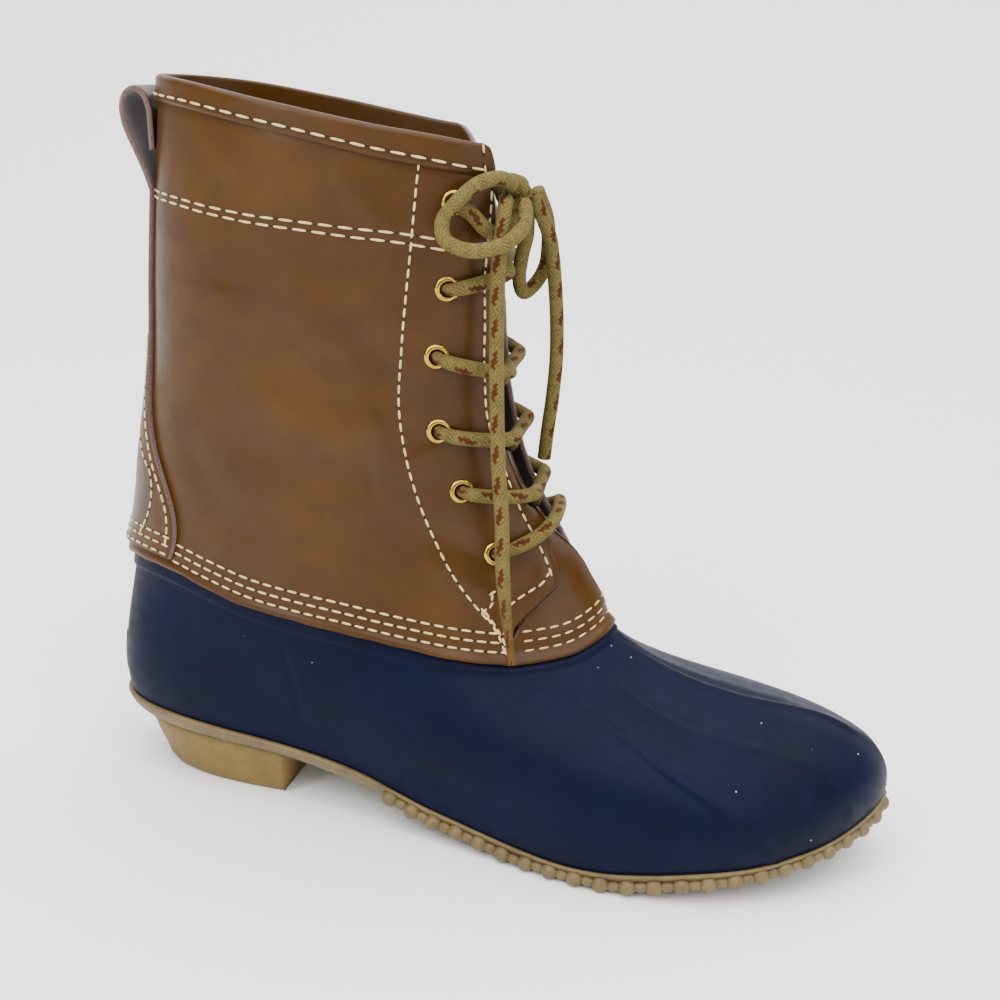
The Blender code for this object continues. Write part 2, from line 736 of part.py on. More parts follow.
def hole_cutter():
    """One hidden object of short round bars, one through each eyelet's place."""
    points, faces = [], []
    sides = EYELET_SIDES
    for _, centre, normal in eyelet_places():
        side, up = axis_frame(normal)
        base = len(points)
        for height in (-2 * LEATHER_WALL, LEATHER_WALL):
            for k in range(sides):
                angle = 2 * math.pi * k / sides
                out = math.cos(angle) * side + math.sin(angle) * up
                points.append(centre + 0.5 * HOLE * out + height * normal)
        for k in range(sides):
            n = (k + 1) % sides
            faces.append((base + k, base + n, base + sides + n, base + sides + k))
        faces.append(tuple(base + k for k in range(sides)))
        faces.append(tuple(base + sides + k for k in range(sides)))
    mesh = closed_mesh("eyelet_holes", points, faces)
    return add_object("eyelet_holes", mesh, "brown_leather")


def build_eyelets():
    """Brass eyelets: a barrel in the hole and a flange that clears the curved leather."""
    low = GAP + EYELET_SEAT
    high = low + EYELET_THICKNESS
    bore, flange = 0.5 * EYELET_BORE, 0.5 * EYELET_FLANGE
    barrel = 0.5 * HOLE - GAP
    profile = (
        (bore, -LEATHER_WALL),
        (bore, high),
        (flange - EYELET_BEVEL, high),
        (flange, low),
        (barrel, low),
        (barrel, -LEATHER_WALL),
    )
    for name, centre, normal in eyelet_places():
        mesh = turned_mesh(name, profile, centre, normal, EYELET_SIDES)
        add_object(name, mesh, "brass")


def tongue_grid():
    """Outside and inside of the tongue, from its foot on the rubber to the collar."""
    base = np.array(EDGE_STATIONS[THROAT_STATION:])
    base = (base - base[0]) / (base[-1] - base[0])
    outer, inner = [], []
    for up, room, under in TONGUE_ROWS:
        line_out, line_in = [], []
        for side in (-1, 1):
            start = throat_share(up, side) - under
            if up == 0.0:
                start = EDGE_STATIONS[THROAT_STATION]
            if under == 0.0:
                start += 0.0035
            shares = start + (1 - start) * base
            edge = min(room * TONGUE_ROOM, TONGUE_EDGE_ROOM)
            depth = edge + (room * TONGUE_ROOM - edge) * base * base * (3 - 2 * base)
            ups = np.full(len(shares), up)
            line_out.append(shaft_offset(ups, shares, side, -depth))
            line_in.append(shaft_offset(ups, shares, side, -depth - LEATHER_WALL))
        for rows, line in ((outer, line_out), (inner, line_in)):
            line[0][-1, 1] = 0.0
            rows.append(np.concatenate([line[0], line[1][-2::-1]]))
    return np.stack(outer, axis=1), np.stack(inner, axis=1)


def build_tongue():
    outer, inner = tongue_grid()
    add_object("tongue", wall_mesh("tongue", outer, inner, False), "brown_leather")


def build_back_stay():
    """A strip up the back of the shaft that flares at its foot and folds into the pull loop."""
    columns = np.linspace(-1, 1, 9)
    first_loop = LOOP[0][0] * COLLAR_HEIGHT
    foot = EDGE_HEIGHT + STAY_LIFT
    heights = foot + np.array(STAY_ROWS) * (first_loop - foot)
    outer, inner = [], []
    for height in heights:
        up = (height - EDGE_HEIGHT) / (COLLAR_HEIGHT - EDGE_HEIGHT)
        flare = smooth(height / COLLAR_HEIGHT, column(STAY_FLARE, 0), column(STAY_FLARE, 1))
        width = STAY_WIDTH + (STAY_FOOT_WIDTH - STAY_WIDTH) * flare
        section = shaft_point(up, np.linspace(0, 1, 60), -1)
        half_way = np.linalg.norm(np.diff(section, axis=0), axis=1).sum()
        for depth, rows in ((STAY_SEAT + STAY_THICKNESS, outer), (STAY_SEAT, inner)):
            line = []
            for share in columns:
                side = -1 if share <= 0 else 1
                at = abs(share) * 0.5 * width / half_way
                line.append(shaft_offset(np.float64(up), np.float64(at), side, np.float64(depth)))
            rows.append(np.array(line))
    loop = np.array(LOOP) * COLLAR_HEIGHT
    path = along_path(np.column_stack([-loop[:, 1], loop[:, 0]]), np.linspace(0, 1, LOOP_ROWS))
    tangent = np.gradient(path, axis=0)
    tangent /= np.linalg.norm(tangent, axis=1, keepdims=True)
    normal = np.column_stack([-tangent[:, 1], tangent[:, 0]])
    last = np.array(outer[-1])
    bow = last[:, 0] - last[len(columns) // 2, 0]
    for k in range(1, len(path)):
        up = (path[k, 1] - EDGE_HEIGHT) / (COLLAR_HEIGHT - EDGE_HEIGHT)
        back = shaft_point(min(up, 1.0), 0.0, -1)[0]
        keep = 1 - LOOP_BOW * math.sin(math.pi * k / (len(path) - 1))
        for sign, rows in ((1, outer), (-1, inner)):
            centre = path[k] + sign * 0.5 * STAY_THICKNESS * normal[k]
            x = back + centre[0] + bow * keep
            y = columns * 0.5 * STAY_WIDTH
            rows.append(np.column_stack([x, y, np.full(len(columns), centre[1])]))
    mesh = wall_mesh("back_stay", np.stack(outer, axis=1), np.stack(inner, axis=1), False)
    add_object("back_stay", mesh, "brown_leather")


def build_insole():
    """A thin sole inside the rubber, on top of the outsole."""
    rounds = edge_loop_shares()
    rim = both_sides(rim_side, rounds)
    inset = RUBBER_WALL + INSOLE_ROOM
    plan = rim - inset * loop_normals(rim)
    low = np.column_stack([plan, rim_height(plan[:, 0]) + GAP])
    high = low + (0, 0, INSOLE_THICKNESS)

    def top(spot, i, k):
        return np.array((spot[0], spot[1], rim_height(spot[0]) + GAP + INSOLE_THICKNESS))

    def bottom(spot, i, k):
        return np.array((spot[0], spot[1], rim_height(spot[0]) + GAP))

    add_object("insole", plate_mesh("insole", [high, low], top, bottom, (1, 1)), "insole_cloth")


def lug_wave(way, start, pitch):
    """1 on a lug and 0 in a groove; flat behind the first lug."""
    phase = (way - start) / pitch
    wave = np.abs(np.sin(math.pi * phase))
    return np.where(phase < 0, 0.0, wave)


def build_outsole():
    """Gum outsole: thin rim, arch, toe spring and chain lugs round the forefoot."""
    fine = rim_side(np.linspace(0, 1, 400), -1)
    half_way = np.linalg.norm(np.diff(fine, axis=0), axis=1).sum()
    lugs = int(round(LUG_REACH * half_way / LUG_PITCH))
    start = 1 - (lugs + 0.5) * LUG_PITCH / half_way
    rear = np.linspace(0, start, 13)[:-1]
    fore = np.linspace(start, 1, 4 * lugs + 3)
    rounds = np.concatenate([rear, fore])
    rim = both_sides(rim_side, rounds)
    out = loop_normals(rim)
    count = len(rim)
    half = count // 2
    way = np.concatenate([rounds, rounds[1:-1][::-1]])
    proud = LUG_PROUD * lug_wave(way, start, LUG_PITCH / half_way)
    x = rim[:, 0]
    share = (x + HEEL_BACK) / SOLE_LENGTH
    lean = UNDERCUT * smooth(share, column(LEAN, 0), column(LEAN, 1))
    height, floor = rim_height(x), underside_height(x)
    top = rim + LEDGE * out
    middle = rim + (LEDGE - 0.35 * lean + proud)[:, None] * out
    bottom = rim + (LEDGE - lean + 0.6 * proud)[:, None] * out
    groove = np.where(proud > 0.3 * LUG_PROUD, 0.0, LUG_DEPTH)
    groove[way < start] = 0.0
    land = (share > LAND[0]) & (share < LAND[1])
    groove[land] = 0.0
    rings = [
        np.column_stack([top, height]),
        np.column_stack([middle, 0.55 * height + 0.45 * floor]),
        np.column_stack([bottom, underside_height(bottom[:, 0]) + groove]),
    ]

    def top_height(spot, i, k):
        return np.array((spot[0], spot[1], rim_height(spot[0])))

    def bottom_height(spot, i, k):
        wave = 0.0
        if 12 < i < half - 4 and not land[i]:
            wave = LUG_WAVE * (1 if k == 1 else -1)
        deep = min(groove[i], groove[count - i])
        return np.array((spot[0] + wave, spot[1], float(underside_height(spot[0] + wave)) + deep))

    add_object("outsole", plate_mesh("outsole", rings, top_height, bottom_height, (1, 2)), "gum_rubber")


def heel_ring(inset, pulled):
    """Plan of the heel block: the sole's rim drawn in, cut straight at the breast."""
    shares = np.linspace(0, 1, 200)
    breast = HEEL_BREAST - HEEL_BACK
    keep = float(np.interp(breast, rim_side(shares, -1)[:, 0], shares))
    rounds = np.linspace(0, keep, HEEL_COLUMNS)
    loop = both_sides(rim_side, np.append(rounds, 1.0))
    loop = loop - inset * loop_normals(loop)
    plan = np.concatenate([loop[:HEEL_COLUMNS], loop[HEEL_COLUMNS + 1:]])
    back = plan[0, 0]
    plan[:, 0] = breast + (plan[:, 0] - breast) * (breast - back - pulled) / (breast - back)
    plan[:, 0] = np.minimum(plan[:, 0], breast)
    plan[HEEL_COLUMNS - 1:HEEL_COLUMNS + 1, 0] = breast
    return plan


def build_heel():
    """Heel block: tapered towards the floor, with a straight breast."""
    rows = []
    for inset, setback, share, drop in HEEL_RINGS:
        plan = heel_ring(HEEL_TOP_INSET + inset * HEEL_TAPER, HEEL_SETBACK + setback * HEEL_BACK_TAPER)
        rows.append(np.column_stack([plan, share * underside_height(plan[:, 0]) - drop]))
    count = len(rows[0])
    faces = []
    for k in range(len(rows) - 1):
        for i in range(count):
            n = (i + 1) % count
            faces.append((k * count + i, k * count + n, (k + 1) * count + n, (k + 1) * count + i))
    for base in (0, (len(rows) - 1) * count):
        faces.append((base, base + 1, base + count - 1))
        for i in range(1, HEEL_COLUMNS - 1):
            faces.append((base + i, base + i + 1, base + count - 1 - i, base + count - i))
    add_object("heel", closed_mesh("heel", np.concatenate(rows), faces), "ochre_rubber")


def on_shaft(up, share, side, out):
    return shaft_offset(np.float64(up), np.float64(share), side, np.float64(out))


def bar_to_throat(row, up_end, side):
    """A lace's way over the quarter: from beside an eyelet to just past the throat edge."""
    up_start = EYELETS[row][0]
    clear = 0.5 * LACE + LACE_CLEAR
    share_start, share_end = eyelet_share(row, side), throat_share(up_end, side)
    start, end = shaft_point(up_start, share_start, side), shaft_point(up_end, share_end, side)
    gone = (0.5 * EYELET_FLANGE + LACE_START) / np.linalg.norm(start - end)
    points = []
    for step in (gone, 0.5 + 0.5 * gone, 0.85, 1.0, LACE_PAST):
        up = up_start + step * (up_end - up_start)
        share = share_start + step * (share_end - share_start)
        points.append(on_shaft(up, share, side, clear))
    return points


def crossing_path(start_row, end_row, side):
    """From beside one eyelet over the throat edge and the tongue, towards the far edge."""
    up_a, up_b = EYELETS[start_row][0], EYELETS[end_row][0]
    points = bar_to_throat(start_row, up_a + CROSS_RISE * (up_b - up_a), side)
    far_up = up_a + CROSS_FAR * (up_b - up_a)
    far = on_shaft(far_up, throat_share(far_up, -side), -side, 0.0)
    points += [points[-1] + step * (far - points[-1]) for step in (0.3, 0.55, 0.78)]
    return along_path(points, np.linspace(0, 1, CROSS_POINTS))


def build_crossings():
    """Each crossing is two bars of lace joined where they cross; a single bar is at the foot."""
    rows = ((1, 0), (2, 3), (3, 4), (4, 5))
    for number, (start_row, end_row) in enumerate(rows, 1):
        lateral, medial = (crossing_path(start_row, end_row, side) for side in (-1, 1))
        name = f"lace_cross_{number}"
        over = add_object(name, tube_mesh(name, lateral, 0.5 * LACE, LACE_SIDES), "lace_cord")
        name = f"lace_under_{number}"
        under = add_object(name, tube_mesh(name, medial, 0.5 * LACE, LACE_SIDES), "lace_cord")
        boolean(over, under, "UNION")
    last = len(EYELETS) - 1
    halves = [bar_to_throat(last, EYELETS[last][0] + BAR_RISE, side) for side in (-1, 1)]
    path = along_path(halves[0] + halves[1][::-1], np.linspace(0, 1, 2 * CROSS_POINTS - 3))
    add_object("lace_bar", tube_mesh("lace_bar", path, 0.5 * LACE, LACE_SIDES), "lace_cord")


def build_knot():
    """The bow's knot: a small pinched ball."""
    work = bmesh.new()
    bmesh.ops.create_uvsphere(work, u_segments=10, v_segments=7, radius=0.5)
    for corner in work.verts:
        x, y, z = corner.co
        pinch = 1 - KNOT_PINCH * math.cos(2 * math.pi * y)
        shape = (x * KNOT_SIZE[0] * pinch, y * KNOT_SIZE[1], z * KNOT_SIZE[2] * pinch)
        corner.co = [part + MILLIMETRE * middle for part, middle in zip(shape, KNOT_CENTRE)]
    mesh = bpy.data.meshes.new("lace_knot")
    work.to_mesh(mesh)
    work.free()
    mesh.shade_smooth()
    add_object("lace_knot", mesh, "lace_cord")


def build_cord(name, route):
    """A free part of the lace: a round tube along a smooth route."""
    route = np.array(route, float) * MILLIMETRE
    length = np.linalg.norm(np.diff(route, axis=0), axis=1).sum()
    count = max(4, int(length / (2.2 * LACE)) + 1)
    points = along_path(route, np.linspace(0, 1, count))
    curve = bpy.data.curves.new(name, "CURVE")
    curve.dimensions = "3D"
    curve.bevel_depth = 0.5 * LACE
    curve.bevel_resolution = 2
    curve.use_fill_caps = True
    spline = curve.splines.new("POLY")
    spline.points.add(count - 1)
    for spot, point in zip(spline.points, points):
        spot.co = (*point, 1.0)
    curve.materials.append(material("lace_cord"))
    made = bpy.data.objects.new(name, curve)
    bpy.context.scene.collection.objects.link(made)


def build_boot():
    clear_scene()
    build_outsole()
    build_heel()
    build_rubber_shell()
    build_insole()
    build_quarters()
    build_tongue()
    build_back_stay()
    build_eyelets()
    build_crossings()
    build_knot()
    for name, route in CORD_ROUTES.items():
        build_cord(name, route)


build_boot()
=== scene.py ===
# %% [markdown]
# # A duck boot, dressed for the camera
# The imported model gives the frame: every piece below sits on it and rides on its one body.
# The forms that show are made again here from the same few sections, only finer,
# so that leather can crease, rubber can shine and every stitch is a real thread.

import math

import bmesh
import bpy
import numpy as np
from mathutils import Matrix


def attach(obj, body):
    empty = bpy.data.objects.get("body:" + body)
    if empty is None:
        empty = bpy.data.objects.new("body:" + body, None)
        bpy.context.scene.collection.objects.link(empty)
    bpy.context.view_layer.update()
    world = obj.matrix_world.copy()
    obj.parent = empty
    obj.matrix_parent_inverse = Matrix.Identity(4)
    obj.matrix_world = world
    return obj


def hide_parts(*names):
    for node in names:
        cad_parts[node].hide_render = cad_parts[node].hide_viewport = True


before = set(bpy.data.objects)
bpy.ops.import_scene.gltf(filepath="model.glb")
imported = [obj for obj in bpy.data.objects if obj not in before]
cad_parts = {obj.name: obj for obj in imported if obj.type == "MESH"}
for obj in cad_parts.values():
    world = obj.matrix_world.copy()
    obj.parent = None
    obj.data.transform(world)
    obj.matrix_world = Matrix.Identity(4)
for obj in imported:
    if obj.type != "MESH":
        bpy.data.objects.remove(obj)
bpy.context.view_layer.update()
BODY = "root"

# %% [markdown]
# ## Sections that the boot is built on
# A shoemaker works from a last: a few sections in height and a few round the foot.
# The tables hold those sections as shares of named sizes, so one size moves all that hangs on it.
# A loft through them is made with numpy, because each point of a panel can then be asked for by name.

# %% Sizes and section tables
SOLE_LENGTH = 0.2905
BALL_WIDTH = 0.103
HEEL_BACK = 0.0505
RIM_HEIGHT = 0.0282
SHAFT_LENGTH = 0.1845
SHAFT_BACK = 0.0515
SHAFT_WIDTH = 0.0820
EDGE_HEIGHT = 0.0840
COLLAR_HEIGHT = 0.2570
SHAFT_RISE = COLLAR_HEIGHT - EDGE_HEIGHT
LEATHER = 0.0020
RUBBER = 0.0025
LACE = 0.0050
GAP = 0.0003                  # between neighbours
MM = 0.001

RIM = (
    # along, lateral, medial
    (0.010, 0.117, 0.117), (0.024, 0.180, 0.180), (0.053, 0.243, 0.243), (0.105, 0.296, 0.296),
    (0.170, 0.320, 0.320), (0.260, 0.325, 0.306), (0.363, 0.345, 0.277), (0.466, 0.393, 0.277),
    (0.570, 0.461, 0.330), (0.649, 0.510, 0.417), (0.718, 0.515, 0.471), (0.787, 0.485, 0.481),
    (0.852, 0.417, 0.455), (0.900, 0.330, 0.405), (0.931, 0.257, 0.360), (0.955, 0.180, 0.310),
    (0.979, 0.083, 0.228), (0.993, 0.000, 0.160),
)
TOE_APEX = 0.083
SOLE_HEIGHTS = (
    # along, rim, underside
    (0.000, 1.000, 0.760), (0.105, 0.975, 0.735), (0.170, 0.935, 0.710), (0.260, 0.850, 0.640),
    (0.312, 0.780, 0.550), (0.363, 0.680, 0.440), (0.404, 0.560, 0.320), (0.446, 0.450, 0.190),
    (0.494, 0.370, 0.117), (0.542, 0.305, 0.043), (0.570, 0.270, 0.000), (0.690, 0.280, 0.000),
    (0.725, 0.330, 0.050), (0.787, 0.420, 0.150), (0.852, 0.495, 0.250), (0.900, 0.580, 0.345),
    (0.948, 0.700, 0.475), (0.983, 0.830, 0.590), (1.000, 0.900, 0.675),
)
FLAT_SOLE = (0.570, 0.690)     # the sole stands on the floor between these shares
WALL = (
    # round, edge, foot_out, foot_up, top_out, top_down
    (0.00, 0.00, 0.055, 0.22, 0.015, 0.26), (0.20, 0.24, 0.060, 0.24, 0.015, 0.24),
    (0.40, 0.50, 0.070, 0.26, 0.030, 0.24), (0.55, 0.68, 0.075, 0.29, 0.100, 0.24),
    (0.70, 0.81, 0.075, 0.36, 0.260, 0.26), (0.85, 0.92, 0.065, 0.44, 0.310, 0.33),
    (1.00, 1.00, 0.045, 0.50, 0.320, 0.38),
)
SHAFT = (
    # up, back, widest, front, half_width, nose
    (0.00, 0.000, 0.50, 1.000, 0.500, 0.46), (0.06, 0.014, 0.47, 0.985, 0.486, 0.50),
    (0.12, 0.022, 0.44, 0.962, 0.474, 0.56), (0.20, 0.028, 0.41, 0.915, 0.462, 0.64),
    (0.30, 0.038, 0.40, 0.855, 0.456, 0.74), (0.42, 0.050, 0.40, 0.805, 0.450, 0.84),
    (0.60, 0.052, 0.40, 0.782, 0.448, 0.88), (0.80, 0.055, 0.40, 0.778, 0.448, 0.88),
    (1.00, 0.060, 0.40, 0.774, 0.450, 0.88),
)
SHAFT_HEIGHTS = (
    # round, edge, collar
    (0.00, 1.000, 1.000), (0.13, 1.042, 0.999), (0.20, 1.040, 0.997), (0.27, 1.012, 0.993),
    (0.36, 0.972, 0.986), (0.45, 0.952, 0.979), (0.52, 0.938, 0.973), (0.62, 0.905, 0.965),
    (0.75, 0.863, 0.957), (0.80, 0.857, 0.953), (0.85, 0.869, 0.950), (0.91, 0.893, 0.947),
    (0.96, 0.940, 0.944), (1.00, 0.975, 0.942),
)
THROAT = (
    # up, lateral, medial
    (-0.02, 0.838, 0.838), (0.050, 0.845, 0.845), (0.068, 0.860, 0.860), (0.123, 0.912, 0.907),
    (0.160, 0.905, 0.897), (0.200, 0.890, 0.872), (0.300, 0.828, 0.812), (0.430, 0.778, 0.764),
    (0.500, 0.765, 0.747), (0.630, 0.762, 0.725), (0.800, 0.746, 0.700), (0.900, 0.741, 0.665),
    (1.000, 0.731, 0.610),
)
EYELETS = (
    # up, behind the throat edge
    (0.884, 0.062), (0.722, 0.076), (0.590, 0.096), (0.444, 0.096), (0.327, 0.088), (0.202, 0.092),
)

# %% Curves through the tables
def column(table, index):
    return np.array([row[index] for row in table], float)


def smooth(at, keys, values):
    """Values between a table's keys, on a smooth curve."""
    keys, values = np.asarray(keys, float), np.asarray(values, float)
    slope = np.gradient(values, keys, axis=0)
    at = np.clip(np.asarray(at, float), keys[0], keys[-1])
    i = np.clip(np.searchsorted(keys, at, side="right") - 1, 0, len(keys) - 2)
    span = keys[i + 1] - keys[i]
    t = (at - keys[i]) / span
    rise = t * t * (3 - 2 * t)
    start, end = t * (1 - t) ** 2 * span, t * t * (t - 1) * span
    return values[i] * (1 - rise) + values[i + 1] * rise + slope[i] * start + slope[i + 1] * end


def unit(vectors):
    return vectors / np.maximum(np.linalg.norm(vectors, axis=-1, keepdims=True), 1e-12)


def lengths_along(points):
    """Distance along a path to each of its points."""
    return np.concatenate(([0], np.cumsum(np.linalg.norm(np.diff(points, axis=0), axis=1))))


def read_along(points, keys, wanted):
    """A path's points where its keys reach the wanted values."""
    return np.stack([np.interp(wanted, keys, each) for each in points.T], -1)


STEPS_PER_POINT = 40


def along_path(points, shares):
    """Points at shares of a smooth path's length."""
    points = np.asarray(points, float)
    steps = np.linalg.norm(np.diff(points, axis=0), axis=1)
    keys = np.concatenate(([0], np.cumsum(np.sqrt(steps))))
    ways = np.linspace(0, keys[-1], STEPS_PER_POINT * len(points))
    fine = np.stack([smooth(ways, keys, each) for each in points.T], -1)
    length = lengths_along(fine)
    return read_along(fine, length, np.asarray(shares) * length[-1])


def path_length(points):
    return float(np.linalg.norm(np.diff(np.asarray(points), axis=0), axis=1).sum())


def bezier(t, p0, p1, p2, p3):
    t = np.asarray(t, float)[..., None]
    return (1 - t) ** 3 * p0 + 3 * (1 - t) ** 2 * t * p1 + 3 * (1 - t) * t ** 2 * p2 + t ** 3 * p3


def soft_step(values, start, end):
    """0 before start, 1 after end, with an easy slope between."""
    t = np.clip((np.asarray(values, float) - start) / (end - start), 0, 1)
    return t * t * (3 - 2 * t)


# %% The shaft and the rim as functions
def shaft_point(up, share, side):
    """Outside of the leather: up 0 to 1, share of the way from back to front, side -1 or 1."""
    up, share, side = np.broadcast_arrays(np.asarray(up, float), np.asarray(share, float), side)
    flat_up, flat_share, flat_side = up.ravel(), share.ravel(), side.ravel()
    points = np.zeros((len(flat_up), 3))
    fine = np.linspace(0, 1, 60)
    for value in np.unique(flat_up):
        section = [smooth(value, column(SHAFT, 0), column(SHAFT, k)) for k in range(1, 6)]
        back, widest, front, half, nose = section
        back, widest, front = (SHAFT_LENGTH * k for k in (back, widest, front))
        half = half * SHAFT_WIDTH
        rear = bezier(fine, np.array([back, 0]), np.array([back, 0.56 * half]),
                      np.array([widest - 0.52 * (widest - back), half]), np.array([widest, half]))
        fore = bezier(fine, np.array([widest, half]), np.array([widest + 0.56 * (front - widest), half]),
                      np.array([front, nose * half]), np.array([front, 0]))
        line = np.concatenate([rear, fore[1:]])
        length = lengths_along(line)
        mine = flat_up == value
        wanted = flat_share[mine] * length[-1]
        points[mine, 0] = np.interp(wanted, length, line[:, 0]) - SHAFT_BACK
        points[mine, 1] = flat_side[mine] * np.interp(wanted, length, line[:, 1])
    low = EDGE_HEIGHT * smooth(flat_share, column(SHAFT_HEIGHTS, 0), column(SHAFT_HEIGHTS, 1))
    high = COLLAR_HEIGHT * smooth(flat_share, column(SHAFT_HEIGHTS, 0), column(SHAFT_HEIGHTS, 2))
    points[:, 2] = low + (high - low) * flat_up
    return points.reshape(*up.shape, 3)


def shaft_normal(up, share, side):
    up, share, side = np.broadcast_arrays(np.asarray(up, float), np.asarray(share, float), side)
    small = 0.004
    rise = shaft_point(up + small, share, side) - shaft_point(up - small, share, side)
    back, fore = np.clip(share - small, 0, 1), np.clip(share + small, 0, 1)
    run = shaft_point(up, fore, side) - shaft_point(up, back, side)
    return unit(np.cross(run, rise) * -side[..., None])


def on_shaft(up, share, side, out=0.0):
    out = np.asarray(out, float)[..., None]
    return shaft_point(up, share, side) + shaft_normal(up, share, side) * out


def share_at(up, along):
    shares = np.linspace(0.3, 1.0, 400)
    x = shaft_point(up, shares, -1)[:, 0] + SHAFT_BACK
    return float(np.interp(along * SHAFT_LENGTH, x, shares))


def throat_along(up, side):
    keys, values = column(THROAT, 0), column(THROAT, 1 if side < 0 else 2)
    return float(smooth(up, keys, values)) if up > 0.2 else float(np.interp(up, keys, values))


THROAT_UPS = np.linspace(-0.02, 1.0, 205)
THROAT_SHARES = {side: [share_at(up, throat_along(up, side)) for up in THROAT_UPS] for side in (-1, 1)}


def throat_share(up, side):
    return float(np.interp(up, THROAT_UPS, THROAT_SHARES[side]))


def rim_side(shares, side):
    across = 1 if side < 0 else 2
    rows = [(0.0, 0.0)] + [(row[0], side * row[across]) for row in RIM] + [(1.0, TOE_APEX)]
    plan = along_path(np.array(rows) * (SOLE_LENGTH, BALL_WIDTH), shares)
    return plan - (HEEL_BACK, 0)


def sole_share(x):
    return (np.asarray(x) + HEEL_BACK) / SOLE_LENGTH


def rim_height(x):
    return RIM_HEIGHT * smooth(sole_share(x), column(SOLE_HEIGHTS, 0), column(SOLE_HEIGHTS, 1))


def underside_height(x):
    share = sole_share(x)
    height = RIM_HEIGHT * smooth(share, column(SOLE_HEIGHTS, 0), column(SOLE_HEIGHTS, 2))
    return np.where((share >= FLAT_SOLE[0]) & (share <= FLAT_SOLE[1]), 0.0, np.maximum(height, 0.0))


def both_sides(function, shares):
    """A closed loop: the lateral side from heel to toe, then the medial side back."""
    return np.concatenate([function(shares, -1), function(shares[1:-1], 1)[::-1]])


def loop_normals(plan):
    tangent = np.roll(plan, -1, axis=0) - np.roll(plan, 1, axis=0)
    return unit(np.stack([tangent[:, 1], -tangent[:, 0]], -1))


def grid_normals(grid, closed):
    run = np.roll(grid, -1, axis=0) - np.roll(grid, 1, axis=0) if closed else np.gradient(grid, axis=0)
    return unit(np.cross(run, np.gradient(grid, axis=1)))


print("ball of the sole:", (rim_side([0.7], -1)[0] / MM).round(1), "mm")

# %% [markdown]
# ## Camera, light and floor
# The picture was taken close by, a little above the boot and turned a few degrees.
# A camera is placed with its right, up and back directions, so the roll needs no extra turn.
# Soft light comes from a large panel above and a window-like panel at the left,
# because the photo shows one broad dull band down the shaft and soft edges on the rubber.

# %% Camera
def shade(mesh, soft=True):
    mesh.polygons.foreach_set("use_smooth", [soft] * len(mesh.polygons))
    mesh.update()


def place_object(name, data):
    made = bpy.data.objects.new(name, data)
    bpy.context.scene.collection.objects.link(made)
    return made


CAMERA_PLACE = (0.191299, -0.489894, 0.272961)
CAMERA_RIGHT = (0.972105, 0.223144, 0.072244)
CAMERA_UP = (-0.133460, 0.272957, 0.952724)
CAMERA_BACK = (0.192875, -0.935789, 0.295123)
FOCAL_SHARE = 1.45072          # focal length over picture width

camera_data = bpy.data.cameras.new("photo_camera")
camera_data.sensor_width = 36.0
camera_data.lens = 36.0 * FOCAL_SHARE
camera = place_object("photo_camera", camera_data)
turn = Matrix((CAMERA_RIGHT, CAMERA_UP, CAMERA_BACK)).transposed().to_4x4()
camera.matrix_world = Matrix.Translation(CAMERA_PLACE) @ turn
bpy.context.scene.camera = camera
print("lens:", round(camera_data.lens, 2), "mm")

# %% Light and floor
def area_light(name, place, aim, size, power):
    data = bpy.data.lights.new(name, "AREA")
    data.shape = "RECTANGLE"
    data.size, data.size_y = size
    data.energy = power
    back = unit(np.array(place, float) - np.array(aim, float))
    right = unit(np.cross((0, 0, 1.0), back))
    facing = Matrix((right, np.cross(back, right), back)).transposed().to_4x4()
    place_object(name, data).matrix_world = Matrix.Translation(place) @ facing


world = bpy.data.worlds.new("studio")
world.use_nodes = True
sky = world.node_tree.nodes["Background"]
sky.inputs["Color"].default_value = (1.0, 1.0, 1.0, 1.0)
sky.inputs["Strength"].default_value = 0.38
bpy.context.scene.world = world
area_light("panel_above", (0.10, -1.00, 2.60), (0.09, -0.6, 0.0), (5.0, 5.0), 330.0)
area_light("window_left", (-0.42, -0.85, 0.60), (0.06, 0, 0.14), (0.22, 0.7), 5.0)
area_light("fill_right", (0.95, -0.50, 0.45), (0.15, 0, 0.06), (0.5, 0.5), 3.0)

# %% [markdown]
# ## Materials
# Each material is named for the real thing. One function turns the hex colours that a picture
# program shows into linear light, and one adds a node with its settings and links.

# %% Material helpers
def linear(code):
    """A colour such as #6b4415 as linear light."""
    parts = [int(code[k:k + 2], 16) / 255 for k in (1, 3, 5)]
    return (*[c / 12.92 if c <= 0.04045 else ((c + 0.055) / 1.055) ** 2.4 for c in parts], 1.0)


def add_node(tree, kind, settings=(), links=()):
    """One node with its settings, and links from other nodes' sockets into its own."""
    made = tree.nodes.new(kind)
    for key, value in dict(settings).items():
        if isinstance(key, str) and key not in made.inputs:
            setattr(made, key, value)
        else:
            made.inputs[key].default_value = value
    for key, source in dict(links).items():
        tree.links.new(source, made.inputs[key])
    return made


def new_material(name, roughness, settings=()):
    made = bpy.data.materials.new(name)
    made.use_nodes = True
    shader = made.node_tree.nodes["Principled BSDF"]
    shader.inputs["Roughness"].default_value = roughness
    for key, value in dict(settings).items():
        shader.inputs[key].default_value = value
    return made, made.node_tree, shader


def ramp(tree, source, stops):
    """A colour ramp; stops are (place, hex colour)."""
    made = add_node(tree, "ShaderNodeValToRGB", links={"Fac": source})
    while len(made.color_ramp.elements) < len(stops):
        made.color_ramp.elements.new(0.5)
    for element, (place, code) in zip(made.color_ramp.elements, stops):
        element.position = place
        element.color = linear(code)
    return made.outputs["Color"]


def spread(tree, source, low, high, to_low, to_high):
    """A value moved from one range to another."""
    return add_node(tree, "ShaderNodeMapRange", {"From Min": low, "From Max": high, "To Min": to_low,
                                                 "To Max": to_high}, {"Value": source}).outputs["Result"]


